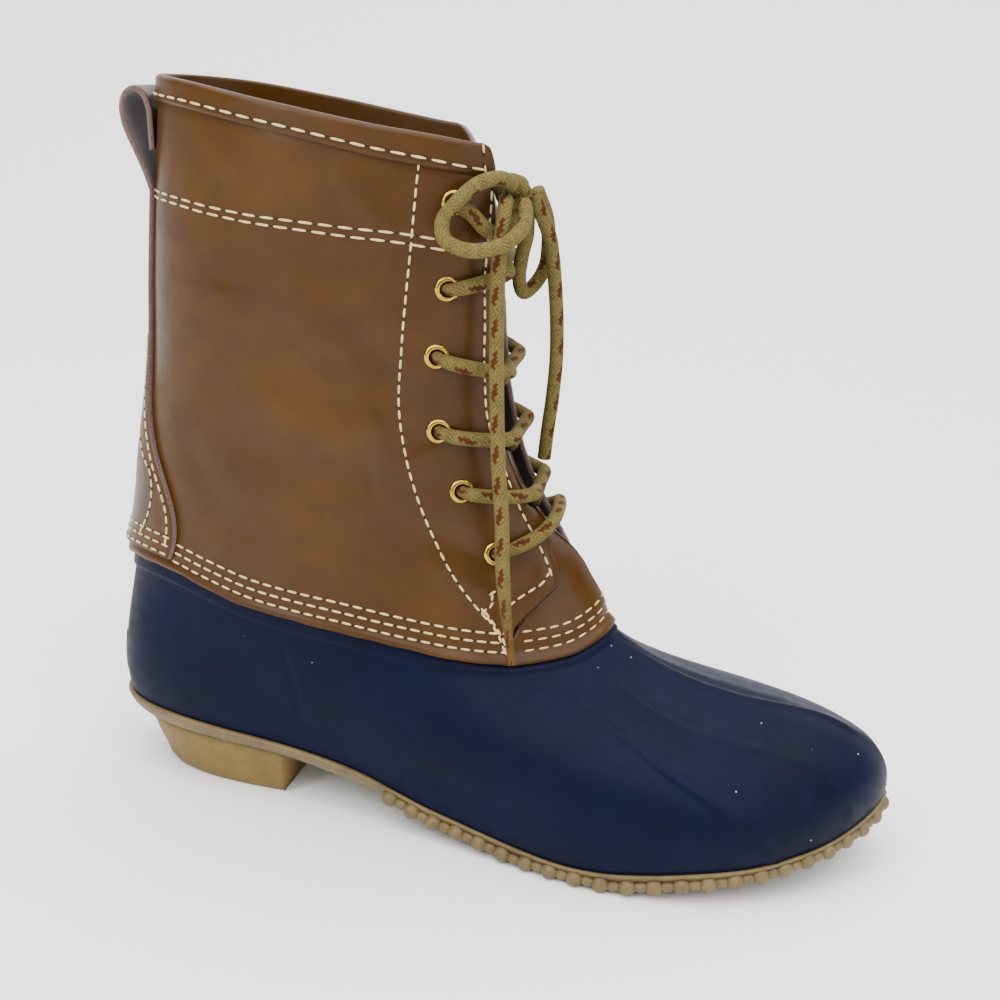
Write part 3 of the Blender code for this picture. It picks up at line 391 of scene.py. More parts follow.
def blend(tree, kind, share, first, second):
    made = add_node(tree, "ShaderNodeMix", {"data_type": "RGBA", "blend_type": kind})
    for socket, value in ((0, share), (6, first), (7, second)):
        if isinstance(value, bpy.types.NodeSocket):
            tree.links.new(value, made.inputs[socket])
        else:
            made.inputs[socket].default_value = value
    return made.outputs[2]


def noise(tree, place, size_mm, detail=3.0, roughness=0.5, distortion=0.0):
    """Noise whose blotches are about size_mm wide."""
    settings = {"Scale": 1000.0 / size_mm, "Detail": detail, "Roughness": roughness, "Distortion": distortion}
    return add_node(tree, "ShaderNodeTexNoise", settings, {"Vector": place}).outputs["Fac"]


def bump(tree, height, distance_mm, strength=1.0, under=None):
    links = {"Height": height}
    if under is not None:
        links["Normal"] = under
    return add_node(tree, "ShaderNodeBump", {"Distance": distance_mm * MM, "Strength": strength},
                    links).outputs["Normal"]


def object_place(tree):
    return add_node(tree, "ShaderNodeTexCoord").outputs["Object"]


# %% Floor
floor_mesh = bpy.data.meshes.new("floor")
SWEEP_START, SWEEP_RADIUS, SWEEP_SIDE = 0.7, 0.9, 5.0
sweep = [(-5.0, 0.0)] + [(SWEEP_START + SWEEP_RADIUS * math.sin(a), SWEEP_RADIUS * (1 - math.cos(a)))
                         for a in np.linspace(0, 0.5 * math.pi, 25)] + [(SWEEP_START + SWEEP_RADIUS, 3.5)]
paper = [(x, y, z) for y, z in sweep for x in (-SWEEP_SIDE, SWEEP_SIDE)]
floor_mesh.from_pydata(paper, [], [(2 * k, 2 * k + 1, 2 * k + 3, 2 * k + 2) for k in range(len(sweep) - 1)])
shade(floor_mesh)
floor = place_object("floor", floor_mesh)
matt_paint, tree, shader = new_material("matt white paper", 0.9)
shader.inputs["Base Color"].default_value = linear("#f4f4f3")
floor_mesh.materials.append(matt_paint)
print("floor laid")

# %% [markdown]
# ### Oiled pull-up leather
# Smooth cowhide, dyed through and hot-oiled. The oil makes it dark and glossy,
# and it moves away where the leather bends, which leaves lighter clouds.
# The pores are about 0.25 mm: too fine for the picture, so they are drawn near 0.5 mm.

# %% Leather
def pull_up_leather(name, deep, middle, light, gloss=0.34):
    made, tree, shader = new_material(name, gloss, {"IOR": 1.48, "Specular IOR Level": 0.20,
                                                    "Coat Weight": 0.04, "Coat Roughness": 0.22})
    place = object_place(tree)
    clouds = noise(tree, place, 46.0, 4.0, 0.55)
    stains = noise(tree, place, 11.0, 5.0, 0.62)
    colour = ramp(tree, clouds, ((0.30, deep), (0.52, middle), (0.74, light)))
    colour = blend(tree, "MULTIPLY", spread(tree, stains, 0.40, 0.75, 0.0, 0.22), colour, linear("#9a7c5c"))
    stretched = add_node(tree, "ShaderNodeMapping", {"Scale": (1.0, 1.0, 0.16)}, {"Vector": place}).outputs[0]
    scratches = noise(tree, stretched, 1.6, 2.0, 0.8)
    lines = spread(tree, scratches, 0.66, 0.72, 0.0, 1.0)
    colour = blend(tree, "MIX", spread(tree, lines, 0.0, 1.0, 0.0, 0.10), colour, linear(light))
    tree.links.new(colour, shader.inputs["Base Color"])
    tree.links.new(spread(tree, stains, 0.3, 0.7, gloss - 0.05, gloss + 0.12), shader.inputs["Roughness"])
    pores = add_node(tree, "ShaderNodeTexVoronoi", {"Scale": 1000 / 0.5}, {"Vector": place})
    fine = bump(tree, pores.outputs["Distance"], 0.05, 0.25)
    waves = bump(tree, noise(tree, place, 7.0, 3.0, 0.5), 0.35, 0.35, fine)
    tree.links.new(bump(tree, clouds, 1.6, 0.30, waves), shader.inputs["Normal"])
    return made


def mottled(name, roughness, settings, size_mm, dark, light, detail=3.0, rough=0.5, raised=None,
            stops=(0.3, 0.7)):
    """Two colours in blotches of one size; raised is (distance mm, strength) for what has fibres."""
    made, tree, shader = new_material(name, roughness, settings)
    blotches = noise(tree, object_place(tree), size_mm, detail, rough)
    tree.links.new(ramp(tree, blotches, tuple(zip(stops, (dark, light)))), shader.inputs["Base Color"])
    if raised:
        tree.links.new(bump(tree, blotches, *raised), shader.inputs["Normal"])
    return made


def suede(name, dark, light, grain_mm):
    """The flesh side or a raw cut: short fuzzy fibres that scatter light."""
    return mottled(name, 0.92, {"Sheen Weight": 0.25, "Sheen Roughness": 0.6}, grain_mm, dark, light,
                   4.0, 0.75, (0.35, 0.9), (0.34, 0.66))


brown_leather = pull_up_leather("oiled pull-up leather", "#382002", "#3f2502", "#4a2d05")
cut_edge = suede("raw cut leather edge", "#2c1715", "#6a4a42", 0.7)
flesh_side = suede("leather flesh side", "#1f0d0b", "#3c211b", 0.5)
print("leather ready")

# %% [markdown]
# ### Moulded rubber
# The lower is dipped and moulded rubber with a satin skin: a soft, wide highlight and faint mottling.
# A few specks of dust stay on it. The sole is unpigmented gum rubber, duller and a little rough.

# %% Rubber
def satin_rubber():
    made, tree, shader = new_material("moulded satin rubber", 0.42, {"IOR": 1.5, "Specular IOR Level": 0.09})
    place = object_place(tree)
    clouds = noise(tree, place, 38.0, 4.0, 0.6)
    colour = ramp(tree, clouds, ((0.3, "#02051a"), (0.7, "#030924")))
    dust = add_node(tree, "ShaderNodeTexVoronoi", {"Scale": 1000 / 7.0, "Randomness": 1.0}, {"Vector": place})
    speck = spread(tree, dust.outputs["Distance"], 0.045, 0.030, 0.0, 1.0)
    chosen = spread(tree, noise(tree, place, 16.0, 1.0), 0.60, 0.66, 0.0, 1.0)
    share = add_node(tree, "ShaderNodeMath", {"operation": "MULTIPLY"}, {0: speck, 1: chosen}).outputs[0]
    tree.links.new(blend(tree, "MIX", share, colour, linear("#b9bcc4")), shader.inputs["Base Color"])
    mottle = noise(tree, place, 5.0, 4.0, 0.6)
    tree.links.new(spread(tree, mottle, 0.3, 0.7, 0.46, 0.58), shader.inputs["Roughness"])
    skin = bump(tree, noise(tree, place, 1.1, 3.0, 0.6), 0.03, 0.5)
    tree.links.new(bump(tree, noise(tree, place, 16.0, 2.0), 0.7, 0.25, skin), shader.inputs["Normal"])
    return made


def gum_rubber(name, dark, light):
    made, tree, shader = new_material(name, 0.55, {"IOR": 1.5, "Subsurface Weight": 0.06,
                                                   "Subsurface Scale": 0.002})
    place = object_place(tree)
    clouds = noise(tree, place, 9.0, 5.0, 0.6)
    grime = noise(tree, place, 2.2, 4.0, 0.7)
    colour = ramp(tree, clouds, ((0.3, dark), (0.7, light)))
    colour = blend(tree, "MULTIPLY", spread(tree, grime, 0.5, 0.75, 0.0, 0.5), colour, linear("#8d7c5e"))
    tree.links.new(colour, shader.inputs["Base Color"])
    tree.links.new(bump(tree, grime, 0.12, 0.6), shader.inputs["Normal"])
    return made


navy = satin_rubber()
gum = gum_rubber("unpigmented gum rubber", "#544222", "#685830")
ochre = gum_rubber("ochre gum rubber", "#614a10", "#735a1a")
print("rubber ready")

# %% Brass, thread and cloth
brass = mottled("polished brass", 0.2, {"Metallic": 1.0}, 2.5, "#94762a", "#bb9a44")
thread = mottled("waxed cream thread", 0.6, {"Sheen Weight": 0.2}, 1.4, "#b59a5c", "#dcc68a")
insole_cloth = mottled("woven insole cloth", 0.9, {"Sheen Weight": 0.3}, 0.8, "#4a3a2c", "#6c5a46",
                       2.0, 0.8, (0.2, 0.8))
# painted shade: each needle hole is a small dark lozenge on the leather; no hole is cut
painted_hole_shade, tree, shader = new_material("painted shade of needle holes", 0.9)
shader.inputs["Base Color"].default_value = linear("#1d0f05")

# %% [markdown]
# ### Braided lace
# A round lace is braided from many carriers: each strand runs over two and under two others.
# The brown flecks are two dyed carriers that meet at the front once a turn.
# The strands are real relief on the tube; one attribute says which are brown, and another darkens the hollows
# between strands as painted shade.

# %% Lace cord
lace_cord, tree, shader = new_material("braided cotton lace", 0.85, {"Specular IOR Level": 0.2})
fleck = add_node(tree, "ShaderNodeAttribute", {"attribute_name": "fleck"}).outputs["Fac"]
fibres = noise(tree, object_place(tree), 0.7, 4.0, 0.7)
pale = ramp(tree, fibres, ((0.3, "#544820"), (0.7, "#776a3a")))
brown = ramp(tree, fibres, ((0.3, "#341400"), (0.7, "#582b04")))
painted_groove_shade = add_node(tree, "ShaderNodeAttribute", {"attribute_name": "painted_groove_shade"}).outputs["Fac"]
colour = blend(tree, "MIX", fleck, pale, brown)
# painted shade: the hollows between strands are darkened towards #5f4f30
colour = blend(tree, "MULTIPLY", spread(tree, painted_groove_shade, 0.0, 1.0, 0.0, 0.95), colour, linear("#5f4f30"))
tree.links.new(colour, shader.inputs["Base Color"])
tree.links.new(bump(tree, fibres, 0.15, 0.7), shader.inputs["Normal"])


# %% Making pieces
def link_piece(name, mesh, materials, nodes=()):
    """Links a finished mesh, lets it ride, and hides the model's nodes that it stands for."""
    for each in materials:
        mesh.materials.append(each)
    piece = place_object(name, mesh)
    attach(piece, BODY)
    if nodes:
        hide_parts(*nodes)
    return piece


def baked(piece, live):
    """The mesh that a live modifier makes; the modifier is then gone."""
    graph = bpy.context.evaluated_depsgraph_get()
    made = bpy.data.meshes.new_from_object(piece.evaluated_get(graph), depsgraph=graph)
    piece.modifiers.remove(live)
    return made


def ring_faces(count, rows, base=0):
    """Faces between rings of count points, one ring after the other."""
    a = base + np.arange(rows - 1)[:, None] * count + np.arange(count)
    b = base + np.arange(rows - 1)[:, None] * count + (np.arange(count) + 1) % count
    return np.stack([a, b, b + count, a + count], -1).reshape(-1, 4).tolist()


def grid_faces(count, rows, closed_round):
    """Faces of a grid of count columns by rows."""
    i = np.arange(count if closed_round else count - 1)
    n = (i + 1) % count
    j = np.arange(rows - 1)
    a = i[:, None] * rows + j
    b = n[:, None] * rows + j
    return np.stack([a, b, b + 1, a + 1], -1).reshape(-1, 4)


def mesh_from(name, points, faces, face_material=None, smooth_faces=True):
    """A mesh with outward normals."""
    mesh = bpy.data.meshes.new(name)
    mesh.from_pydata(np.asarray(points, float).tolist(), [], [tuple(int(k) for k in face) for face in faces])
    if face_material is not None:
        mesh.polygons.foreach_set("material_index", np.asarray(face_material, np.int32))
    work = bmesh.new()
    work.from_mesh(mesh)
    bmesh.ops.recalc_face_normals(work, faces=work.faces)
    work.to_mesh(mesh)
    work.free()
    shade(mesh, smooth_faces)
    return mesh


def wall(name, outer, inner, closed_round):
    """A wall between two grids. Material 0 is outside, 1 inside, 2 on the cut edges."""
    count, rows = outer.shape[:2]
    shift = count * rows
    skin = grid_faces(count, rows, closed_round)
    faces = [skin, skin[:, ::-1] + shift]
    slots = [np.zeros(len(skin)), np.ones(len(skin))]
    i = np.arange(count if closed_round else count - 1)
    n = (i + 1) % count
    for j in (0, rows - 1):
        a, b = i * rows + j, n * rows + j
        faces.append(np.stack([a, a + shift, b + shift, b], -1))
        slots.append(np.full(len(i), 2))
    if not closed_round:
        for i in (0, count - 1):
            a = i * rows + np.arange(rows - 1)
            faces.append(np.stack([a, a + 1, a + 1 + shift, a + shift], -1))
            slots.append(np.full(rows - 1, 2))
    points = np.concatenate([outer.reshape(-1, 3), inner.reshape(-1, 3)])
    return mesh_from(name, points, np.concatenate(faces), np.concatenate(slots))


# %% [markdown]
# ## Laces
# The lace comes up through each eyelet, lies on the leather, turns over the throat edge and crosses.
# At the top both ends meet in a bow that hangs to the side.
# Its free parts repeat the routes of the model, so they lie where their solids are.

# %% A braided tube
CARRIERS = 10
STRAND = 1.5 * MM             # length of one strand's crossing along the lace
RELIEF = 0.00028
FLECK_PERIOD = 14             # half strands from one brown fleck to the next
FLECK_LENGTH = 5
TUBE_SIDES, TUBE_STEP = 40, 0.36 * MM


def path_frames(points):
    """Two cross directions that don't twist along a path."""
    tangent = unit(np.gradient(points, axis=0))
    side = np.zeros_like(points)
    side[0] = unit(np.cross(tangent[0], (0.1, 0.3, 1.0)))
    for k in range(1, len(points)):
        kept = side[k - 1] - tangent[k] * np.dot(side[k - 1], tangent[k])
        side[k] = unit(kept)
    return side, np.cross(tangent, side)


def braided_tube(name, route, radius, turn=0.0, taper=None):
    """A round lace along a smooth route, with relief strands, a fleck attribute and an attribute of painted
    shade for the hollows between strands.
    """
    length = path_length(along_path(route, np.linspace(0, 1, 200)))
    count, sides = max(12, int(length / TUBE_STEP)), TUBE_SIDES
    shares = np.linspace(0, 1, count)
    points = along_path(route, shares)
    side, up = path_frames(points)
    angle = np.arange(sides) * 2 * math.pi / sides
    run = shares[:, None] * length / STRAND + np.zeros(sides)
    around = CARRIERS * (angle[None, :] + turn) / (2 * math.pi)
    first, second = run + around, run - around
    i, j = np.floor(first), np.floor(second)
    over = np.mod(i + j, 4) < 2
    across = np.where(over, first - i, second - j)
    height = np.sqrt(np.maximum(0.0, 1 - (2 * across - 1) ** 2))
    round_cell, run_cell = np.mod(i - j, 2 * CARRIERS), np.mod(i + j, FLECK_PERIOD)
    front = (round_cell == 0) & (run_cell < FLECK_LENGTH)
    front |= (round_cell == 1) & (run_cell > 0) & (run_cell < 8)
    front |= (round_cell == 2) & (run_cell > 3) & (run_cell < 7)
    behind = np.isin(round_cell, (CARRIERS, CARRIERS + 1))
    behind &= np.mod(run_cell + 6, FLECK_PERIOD) < FLECK_LENGTH
    flecked = (front | behind).astype(float)
    wide = np.full(count, radius - 0.5 * RELIEF)
    # where the lace narrows it takes up to 0.75 of the brown fleck colour: wear at the lateral end's tip, and
    # a darker stretch where an eyelet squeezes it
    if taper is not None:
        wide = wide * taper(shares)
        flecked = np.maximum(flecked, np.clip(1.3 * (1 - taper(shares)), 0, 0.75)[:, None])
    out = side[:, None] * np.cos(angle)[None, :, None] + up[:, None] * np.sin(angle)[None, :, None]
    rings = points[:, None] + out * (wide[:, None] + RELIEF * (height - 0.5))[..., None]
    faces = ring_faces(sides, count)
    faces.append(list(range(sides))[::-1])
    faces.append([(count - 1) * sides + k for k in range(sides)])
    mesh = bpy.data.meshes.new(name)
    mesh.from_pydata(rings.reshape(-1, 3).tolist(), [], faces)
    # the second attribute is painted shade, strongest in the hollows between strands
    for label, values in (("fleck", flecked), ("painted_groove_shade", 1 - height)):
        mesh.attributes.new(label, "FLOAT", "POINT").data.foreach_set("value", values.ravel())
    shade(mesh)
    return mesh, points, length


# %% Bow
CORD_ROUTES = {
    "lace_loop_lateral": (
        (90.5, -20, 231.5), (88, -26.5, 234), (82, -32, 232), (76.5, -36.5, 226), (73, -39, 220),
        (74.5, -41, 214.8), (80, -42.3, 212.4), (86.5, -41, 212.3), (92.5, -37, 214.2), (96.3, -30.5, 218),
        (96.8, -24.5, 222), (95, -20, 226.2),
    ),
    "lace_loop_medial": (
        (93.6, -6.4, 223), (93.6, -4.5, 214.5), (91.8, -1.5, 206.5), (91, 1, 198), (92.5, 3.5, 193.5),
        (96, 6.5, 197), (98.5, 8, 203), (99, 7.5, 209), (99, 5, 216), (98.5, 0, 222), (96, -5, 229.5),
    ),
    "lace_end_lateral": (
        (89, -20.3, 226.6), (89.9, -25.3, 225.2), (90.5, -29, 220), (90.5, -31, 213), (90.5, -31.7, 206),
        (91.5, -32, 187), (93.5, -33, 163), (96, -34, 140), (99, -36, 122), (101, -39, 107),
        (104, -42, 92), (108, -44.5, 75),
    ),
    "lace_end_medial": (
        (96.9, -11.5, 227.3), (99.2, -8, 221), (101.5, -4, 214), (102.5, -1, 207), (103.5, 2.5, 197),
        (104.5, 5.5, 185), (105, 8.5, 170), (104.5, 10, 156), (103.5, 11, 142), (103, 12, 133),
    ),
    "lace_to_knot": (
        (80.5, -30.5, 222), (84.5, -28, 217.8), (89.5, -23.5, 215.3), (90.5, -18, 217.3), (89.5, -12.5, 219.7),
        (87.5, -4, 222.5), (87.5, 6, 226.2), (86, 18, 228.8), (82, 26.5, 229), (77, 31.7, 228.2),
        (72.5, 34.2, 227.2), (68, 35.6, 226.8),
    ),
}
BOW_FACTS = {
    "lace_loop_lateral": ("knot", "loose", 0.9),
    "lace_loop_medial": ("knot", "loose", 0.9),
    "lace_end_lateral": ("bare", "hanging", 1.4),
    "lace_end_medial": ("bare", "hanging", 0.2),
    "lace_to_knot": ("object", "taut", 0.6),
}


def frayed_tip(shares):
    """The lateral end narrows where its tip was bound and has worn away."""
    return 1 - 0.45 * soft_step(shares, 0.80, 0.97)

# %% [markdown]
# ### Knot and crossings
# The bow's knot is two short turns of the lace pulled tight round each other.
# Below it each end comes up out of its eyelet, where the brass squeezes it,
# lies on the flap, turns over the throat edge and crosses the other end over the tongue.

# %% Knot
KNOT_CENTRE = np.array((89.5, -12.5, 228.5)) * MM
KNOT_TURNS = (
    # tilt about the boot's length, turn about the height, ring radius mm, shift mm
    (0.35, 0.10, 3.6, (0.0, -2.4, 0.6)),
    (-0.75, 0.65, 3.4, (0.4, 2.6, -0.4)),
    (1.35, -0.30, 3.0, (0.8, 0.0, 1.2)),
)


def ring_route(tilt, turn, ring, shift):
    angle = np.linspace(0.15, 2 * math.pi - 0.15, 26)
    flat = np.stack([ring * np.cos(angle), 0 * angle, ring * 1.15 * np.sin(angle)], -1) * MM
    spin = Matrix.Rotation(turn, 3, "Z") @ Matrix.Rotation(tilt, 3, "X")
    return flat @ np.array(spin).T + KNOT_CENTRE + np.array(shift) * MM


def join_meshes(name, meshes):
    """One mesh of several, with their attributes and material places kept."""
    work = bmesh.new()
    for each in meshes:
        work.from_mesh(each)
    joined = bpy.data.meshes.new(name)
    work.to_mesh(joined)
    work.free()
    for each in meshes:
        bpy.data.meshes.remove(each)
    joined.update()
    return joined


turns = [braided_tube(f"knot_turn_{k}", ring_route(*row), 0.46 * LACE, 0.7 * k)[0]
         for k, row in enumerate(KNOT_TURNS)]
knot = link_piece("lace_knot_turns", join_meshes("lace_knot_turns", turns), [lace_cord],
                  ["lace_knot"])


SQUEEZE = 0.80                # the lace's share of its thickness inside an eyelet


def eyelet_share(row, side):
    up, behind = EYELETS[row]
    return share_at(up, throat_along(up, side) - behind)


def out_of_eyelet(side):
    """From inside the top eyelet to just above its flange."""
    up, share = EYELETS[0][0], eyelet_share(0, side)
    return [on_shaft(up, share, side, out) / MM for out in (-0.0035, -0.0005, 0.0030)]


def squeezed(start, end=None):
    """A taper that is narrow where the lace stands in an eyelet: at its start, or at both ends."""
    def taper(shares):
        free = soft_step(shares, *start)
        if end:
            free = free * soft_step(1 - shares, *end)
        return SQUEEZE + (1 - SQUEEZE) * free
    return taper


CORD_ROUTES["lace_to_knot"] = (*out_of_eyelet(-1), *CORD_ROUTES["lace_to_knot"], *out_of_eyelet(1)[::-1])
for name, route in CORD_ROUTES.items():
    far_end, lay, turn = BOW_FACTS[name]
    taper = {"lace_end_lateral": frayed_tip, "lace_to_knot": squeezed((0.03, 0.08), (0.03, 0.08))}.get(name)
    mesh, points, length = braided_tube(name, np.array(route) * MM, 0.5 * LACE, turn, taper)
    piece = link_piece(name + "_braid", mesh, [lace_cord], [name])
    print(name, round(length / MM), "mm")

# %% Crossings
EYELET_FLANGE = 0.0086
LACE_CLEAR = 0.0007


def way_over_flap(row, up_end, side):
    """Out of the eyelet, over its flange and the flap, to just past the throat edge."""
    up_start = EYELETS[row][0]
    share_start, share_end = eyelet_share(row, side), throat_share(up_end, side)
    start, end = shaft_point(up_start, share_start, side), shaft_point(up_end, share_end, side)
    gone = (0.5 * EYELET_FLANGE + 0.0010) / np.linalg.norm(start - end)
    clear = 0.5 * LACE + LACE_CLEAR
    points = []
    for step, out in ((0.0, -0.0035), (0.0, -0.0005), (0.3 * gone, 0.0024), (gone, clear),
                      (0.5 + 0.5 * gone, clear), (0.85, clear), (1.0, clear), (1.12, clear)):
        up = up_start + step * (up_end - up_start)
        share = share_start + step * (share_end - share_start)
        points.append(on_shaft(up, share, side, out))
    return points


CROSS_START, BAR_END = (0.07, 0.16), (0.05, 0.11)
for number, (start_row, end_row) in enumerate(((1, 0), (2, 3), (3, 4), (4, 5)), 1):
    strands = []
    for side in (-1, 1):
        up_a, up_b = EYELETS[start_row][0], EYELETS[end_row][0]
        route = way_over_flap(start_row, up_a + 0.20 * (up_b - up_a), side)
        far_up = up_a + 0.45 * (up_b - up_a)
        far = on_shaft(far_up, throat_share(far_up, -side), -side)
        route += [route[-1] + step * (far - route[-1]) for step in (0.3, 0.55, 0.78)]
        strands.append(braided_tube(f"strand_{number}_{side}", route, 0.5 * LACE, 0.4 * number + side,
                                    squeezed(CROSS_START))[0])
    link_piece(f"laced_cross_{number}", join_meshes(f"laced_cross_{number}", strands), [lace_cord],
               [f"lace_cross_{number}"])
last = len(EYELETS) - 1
halves = [way_over_flap(last, EYELETS[last][0] + 0.030, side) for side in (-1, 1)]
route = halves[0] + halves[1][::-1]
mesh = braided_tube("laced_bar", route, 0.5 * LACE, 0.3, squeezed(CROSS_START, BAR_END))[0]
link_piece("laced_bar", mesh, [lace_cord], ["lace_bar"])
print("lacing done")

# %% [markdown]
# ### Brass eyelets
# A stamped eyelet: a domed flange with its barrel pressed through the leather.
# It is turned from one profile, the same for all twelve.

# %% Eyelets
EYELET_PROFILE = (
    # radius mm, height above the leather mm
    (2.30, -2.6), (2.30, 0.35), (2.42, 0.78), (2.70, 1.02), (3.10, 1.08), (3.55, 0.98), (3.95, 0.76),
    (4.20, 0.50), (4.30, 0.28), (4.28, 0.22), (3.10, 0.22), (2.62, 0.05), (2.60, -2.6),
)


def turned(profile_mm, centre, normal, sides=40):
    side = unit(np.cross((0.0, 0.0, 1.0), normal))
    up = np.cross(normal, side)
    angle = np.arange(sides) * 2 * math.pi / sides
    spoke = np.cos(angle)[:, None] * side + np.sin(angle)[:, None] * up
    profile = np.array(profile_mm) * MM
    rings = centre + spoke[:, None] * profile[None, :, :1] + profile[None, :, 1:] * normal
    rows = len(profile_mm)
    i, j = np.meshgrid(np.arange(sides), np.arange(rows), indexing="ij")
    n, m = (i + 1) % sides, (j + 1) % rows
    faces = np.stack([i * rows + j, n * rows + j, n * rows + m, i * rows + m], -1).reshape(-1, 4)
    return rings.reshape(-1, 3), faces


EYELET_PLACES = {}
for side, word in ((-1, "lateral"), (1, "medial")):
    for row, (up, _) in enumerate(EYELETS):
        share = eyelet_share(row, side)
        centre, normal = shaft_point(up, share, side), shaft_normal(up, share, side)
        EYELET_PLACES[f"eyelet_{word}_{row + 1}"] = (centre, normal)
for name, (centre, normal) in EYELET_PLACES.items():
    points, faces = turned(EYELET_PROFILE, centre, normal)
    link_piece(name + "_stamped", mesh_from(name, points, faces), [brass], [name])
print(len(EYELET_PLACES), "eyelets")

# %% [markdown]
# ### Relief by hand
# Creases, ridges and the edge of a raised band are soft troughs and ridges along listed lines.
# A point near a line moves along its normal by a bell-shaped amount.

# %% Lines in relief
def line_distance(points, line):
    """Distance of each point from a smooth line, and how far along it the nearest place is."""
    fine = along_path(line, np.linspace(0, 1, 120))
    gap = np.linalg.norm(points[:, None] - fine[None], axis=2)
    nearest = gap.argmin(axis=1)
    return gap[np.arange(len(points)), nearest], nearest / 119


def relief(points, lines):
    """Height in metres from rows of (depth mm, width mm, line points mm)."""
    height = np.zeros(len(points))
    for depth, width, line in lines:
        route = np.array(line, float) * MM
        low, high = route.min(axis=0) - 4 * width * MM, route.max(axis=0) + 4 * width * MM
        near = np.all((points > low) & (points < high), axis=1)
        if near.any():
            gap, share = line_distance(points[near], route)
            ends = soft_step(share, 0.0, 0.20) * soft_step(1 - share, 0.0, 0.05)
            height[near] += depth * MM * np.exp(-(gap / (width * MM)) ** 2) * ends
    return height


def mirrored(line):
    return tuple((x, -y, z) for x, y, z in line)


# %% [markdown]
# ### Rubber lower
# Moulded in one piece: a wall from the sole up to a raised collar band, which the leather is
# sewn over. Ribs stiffen the toe cap, one in the middle and two on each side. A wall this smooth
# comes from one curve per station, from the sole's rim to the leather's edge, so the form is a loft.

# %% Rubber lower
TOE_RIBS = (
    # depth mm, width mm, line mm
    (1.0, 1.3, ((138, -5, 73), (145, -3, 71), (169.5, -5, 62), (189, -3, 58), (210, 3, 55), (226, 5, 47),
                (236, 7, 36))),
    (1.0, 1.2, ((131, -16, 69), (136, -17, 67), (151, -24, 59), (166.5, -27, 54), (181, -26, 51),
                (197, -23.6, 48), (210, -21, 44), (222, -20, 35), (230, -17, 21))),
    (1.1, 1.2, ((117, -31, 64), (134, -33, 58), (148, -38.5, 52), (163, -44, 45), (177, -45, 38),
                (190, -44, 30.5), (200, -41.5, 20), (207, -38.5, 13))),
)
RUBBER_LINES = (
    *TOE_RIBS, *[(depth, width, mirrored(line)) for depth, width, line in TOE_RIBS[1:]],
    (-0.5, 1.3, ((21.6, -38, 67.5), (25.8, -38, 57), (29.7, -37.5, 43), (31, -37, 34))),
    (-0.9, 7.0, ((140, -9, 69), (160, -15, 61), (185, -15, 54), (210, -12, 49), (226, -8, 40))),
    (-0.9, 7.0, ((140, 4, 69), (160, 7, 61), (185, 9, 54), (210, 12, 49), (226, 14, 38))),
    (-0.8, 7.0, ((130, -25, 63), (150, -31, 54), (172, -34, 46), (195, -32, 40), (212, -28, 32))),
    (-0.5, 1.0, ((160, -44.5, 42), (177, -46, 35), (190, -45, 27.5), (200, -42, 18))),
    (0.5, 2.4, ((-49, -14, 33), (-50, -12, 42), (-50, -11, 50))),
    (-0.5, 5.0, ((60, -46, 30), (90, -47, 26), (120, -50, 22))),
    (0.5, 6.0, ((70, -42, 48), (95, -42, 44), (118, -44, 38))),
)
AROUND, HIGH = 190, 70
LAP = 0.0062                  # rubber under the leather
BAND_DEPTH, BAND_STEP, BAND_ROWS = 0.0082, 0.0009, 14
BAND_LEAD = 0.0016            # closer rows start this far below the band
RIB_FADE = (0.0105, 0.0085)   # ribs end between these distances below the leather

stations = np.linspace(0, 1, AROUND)
edge_keys = np.array((
    0.000, 0.045, 0.090, 0.135, 0.180, 0.235, 0.295, 0.355, 0.415, 0.475, 0.535, 0.595, 0.650,
    0.700, 0.745, 0.785, 0.815, 0.840, 0.855, 0.870, 0.895, 0.925, 0.955, 0.985, 1.000))
spaced = smooth(stations, np.linspace(0, 1, len(edge_keys)), edge_keys)
rounds = smooth(spaced, column(WALL, 1), column(WALL, 0))
rim = both_sides(rim_side, rounds)
rim_out = loop_normals(rim)
way = np.concatenate([rounds, rounds[1:-1][::-1]])
inset = LEATHER + GAP


def edge_under_leather(up):
    return both_sides(lambda at, side: on_shaft(up, at, side, -inset), spaced)


top = edge_under_leather(0.0)
lap = edge_under_leather(LAP / SHAFT_RISE)
top_out = both_sides(lambda at, side: shaft_normal(0.0, at, side), spaced)
top_out[:, 2] = 0
top_out = unit(top_out)
foot = np.column_stack([rim, rim_height(rim[:, 0]) + GAP])
handles = [smooth(way, column(WALL, 0), column(WALL, k)) * EDGE_HEIGHT for k in range(2, 6)]
foot_handle = foot + np.column_stack([rim_out * handles[0][:, None], handles[1]])
top_handle = top + top_out * handles[2][:, None]
top_handle[:, 2] -= handles[3]
levels = np.linspace(0, 1, HIGH) ** 0.9
profiles, band_gap = [], []
for i in range(len(rim)):
    fine = bezier(np.linspace(0, 1, 160), foot[i], foot_handle[i], top_handle[i], top[i])
    length = lengths_along(fine)
    low = length[-1] - BAND_DEPTH - BAND_LEAD
    wanted = np.concatenate([levels * low, low + np.linspace(0, 1, BAND_ROWS)[1:] * (length[-1] - low)])
    profiles.append(read_along(fine, length, wanted))
    band_gap.append(length[-1] - wanted)
shell, band_gap = np.array(profiles), np.array(band_gap)
normals = grid_normals(shell, True)
flat = shell.reshape(-1, 3)
raise_by = relief(flat, RUBBER_LINES).reshape(shell.shape[:2])
raise_by *= 1 - soft_step(-band_gap, -RIB_FADE[0], -RIB_FADE[1])
raise_by += BAND_STEP * soft_step(-band_gap, -BAND_DEPTH - 0.0009, -BAND_DEPTH + 0.0001)
raise_by[:, -1] = 0.0
outer = shell + normals * raise_by[..., None]
outer = np.concatenate([outer, lap[:, None]], axis=1)
inner = shell - RUBBER * normals
inward = RUBBER * np.column_stack([top_out[:, :2], np.zeros(len(top))])
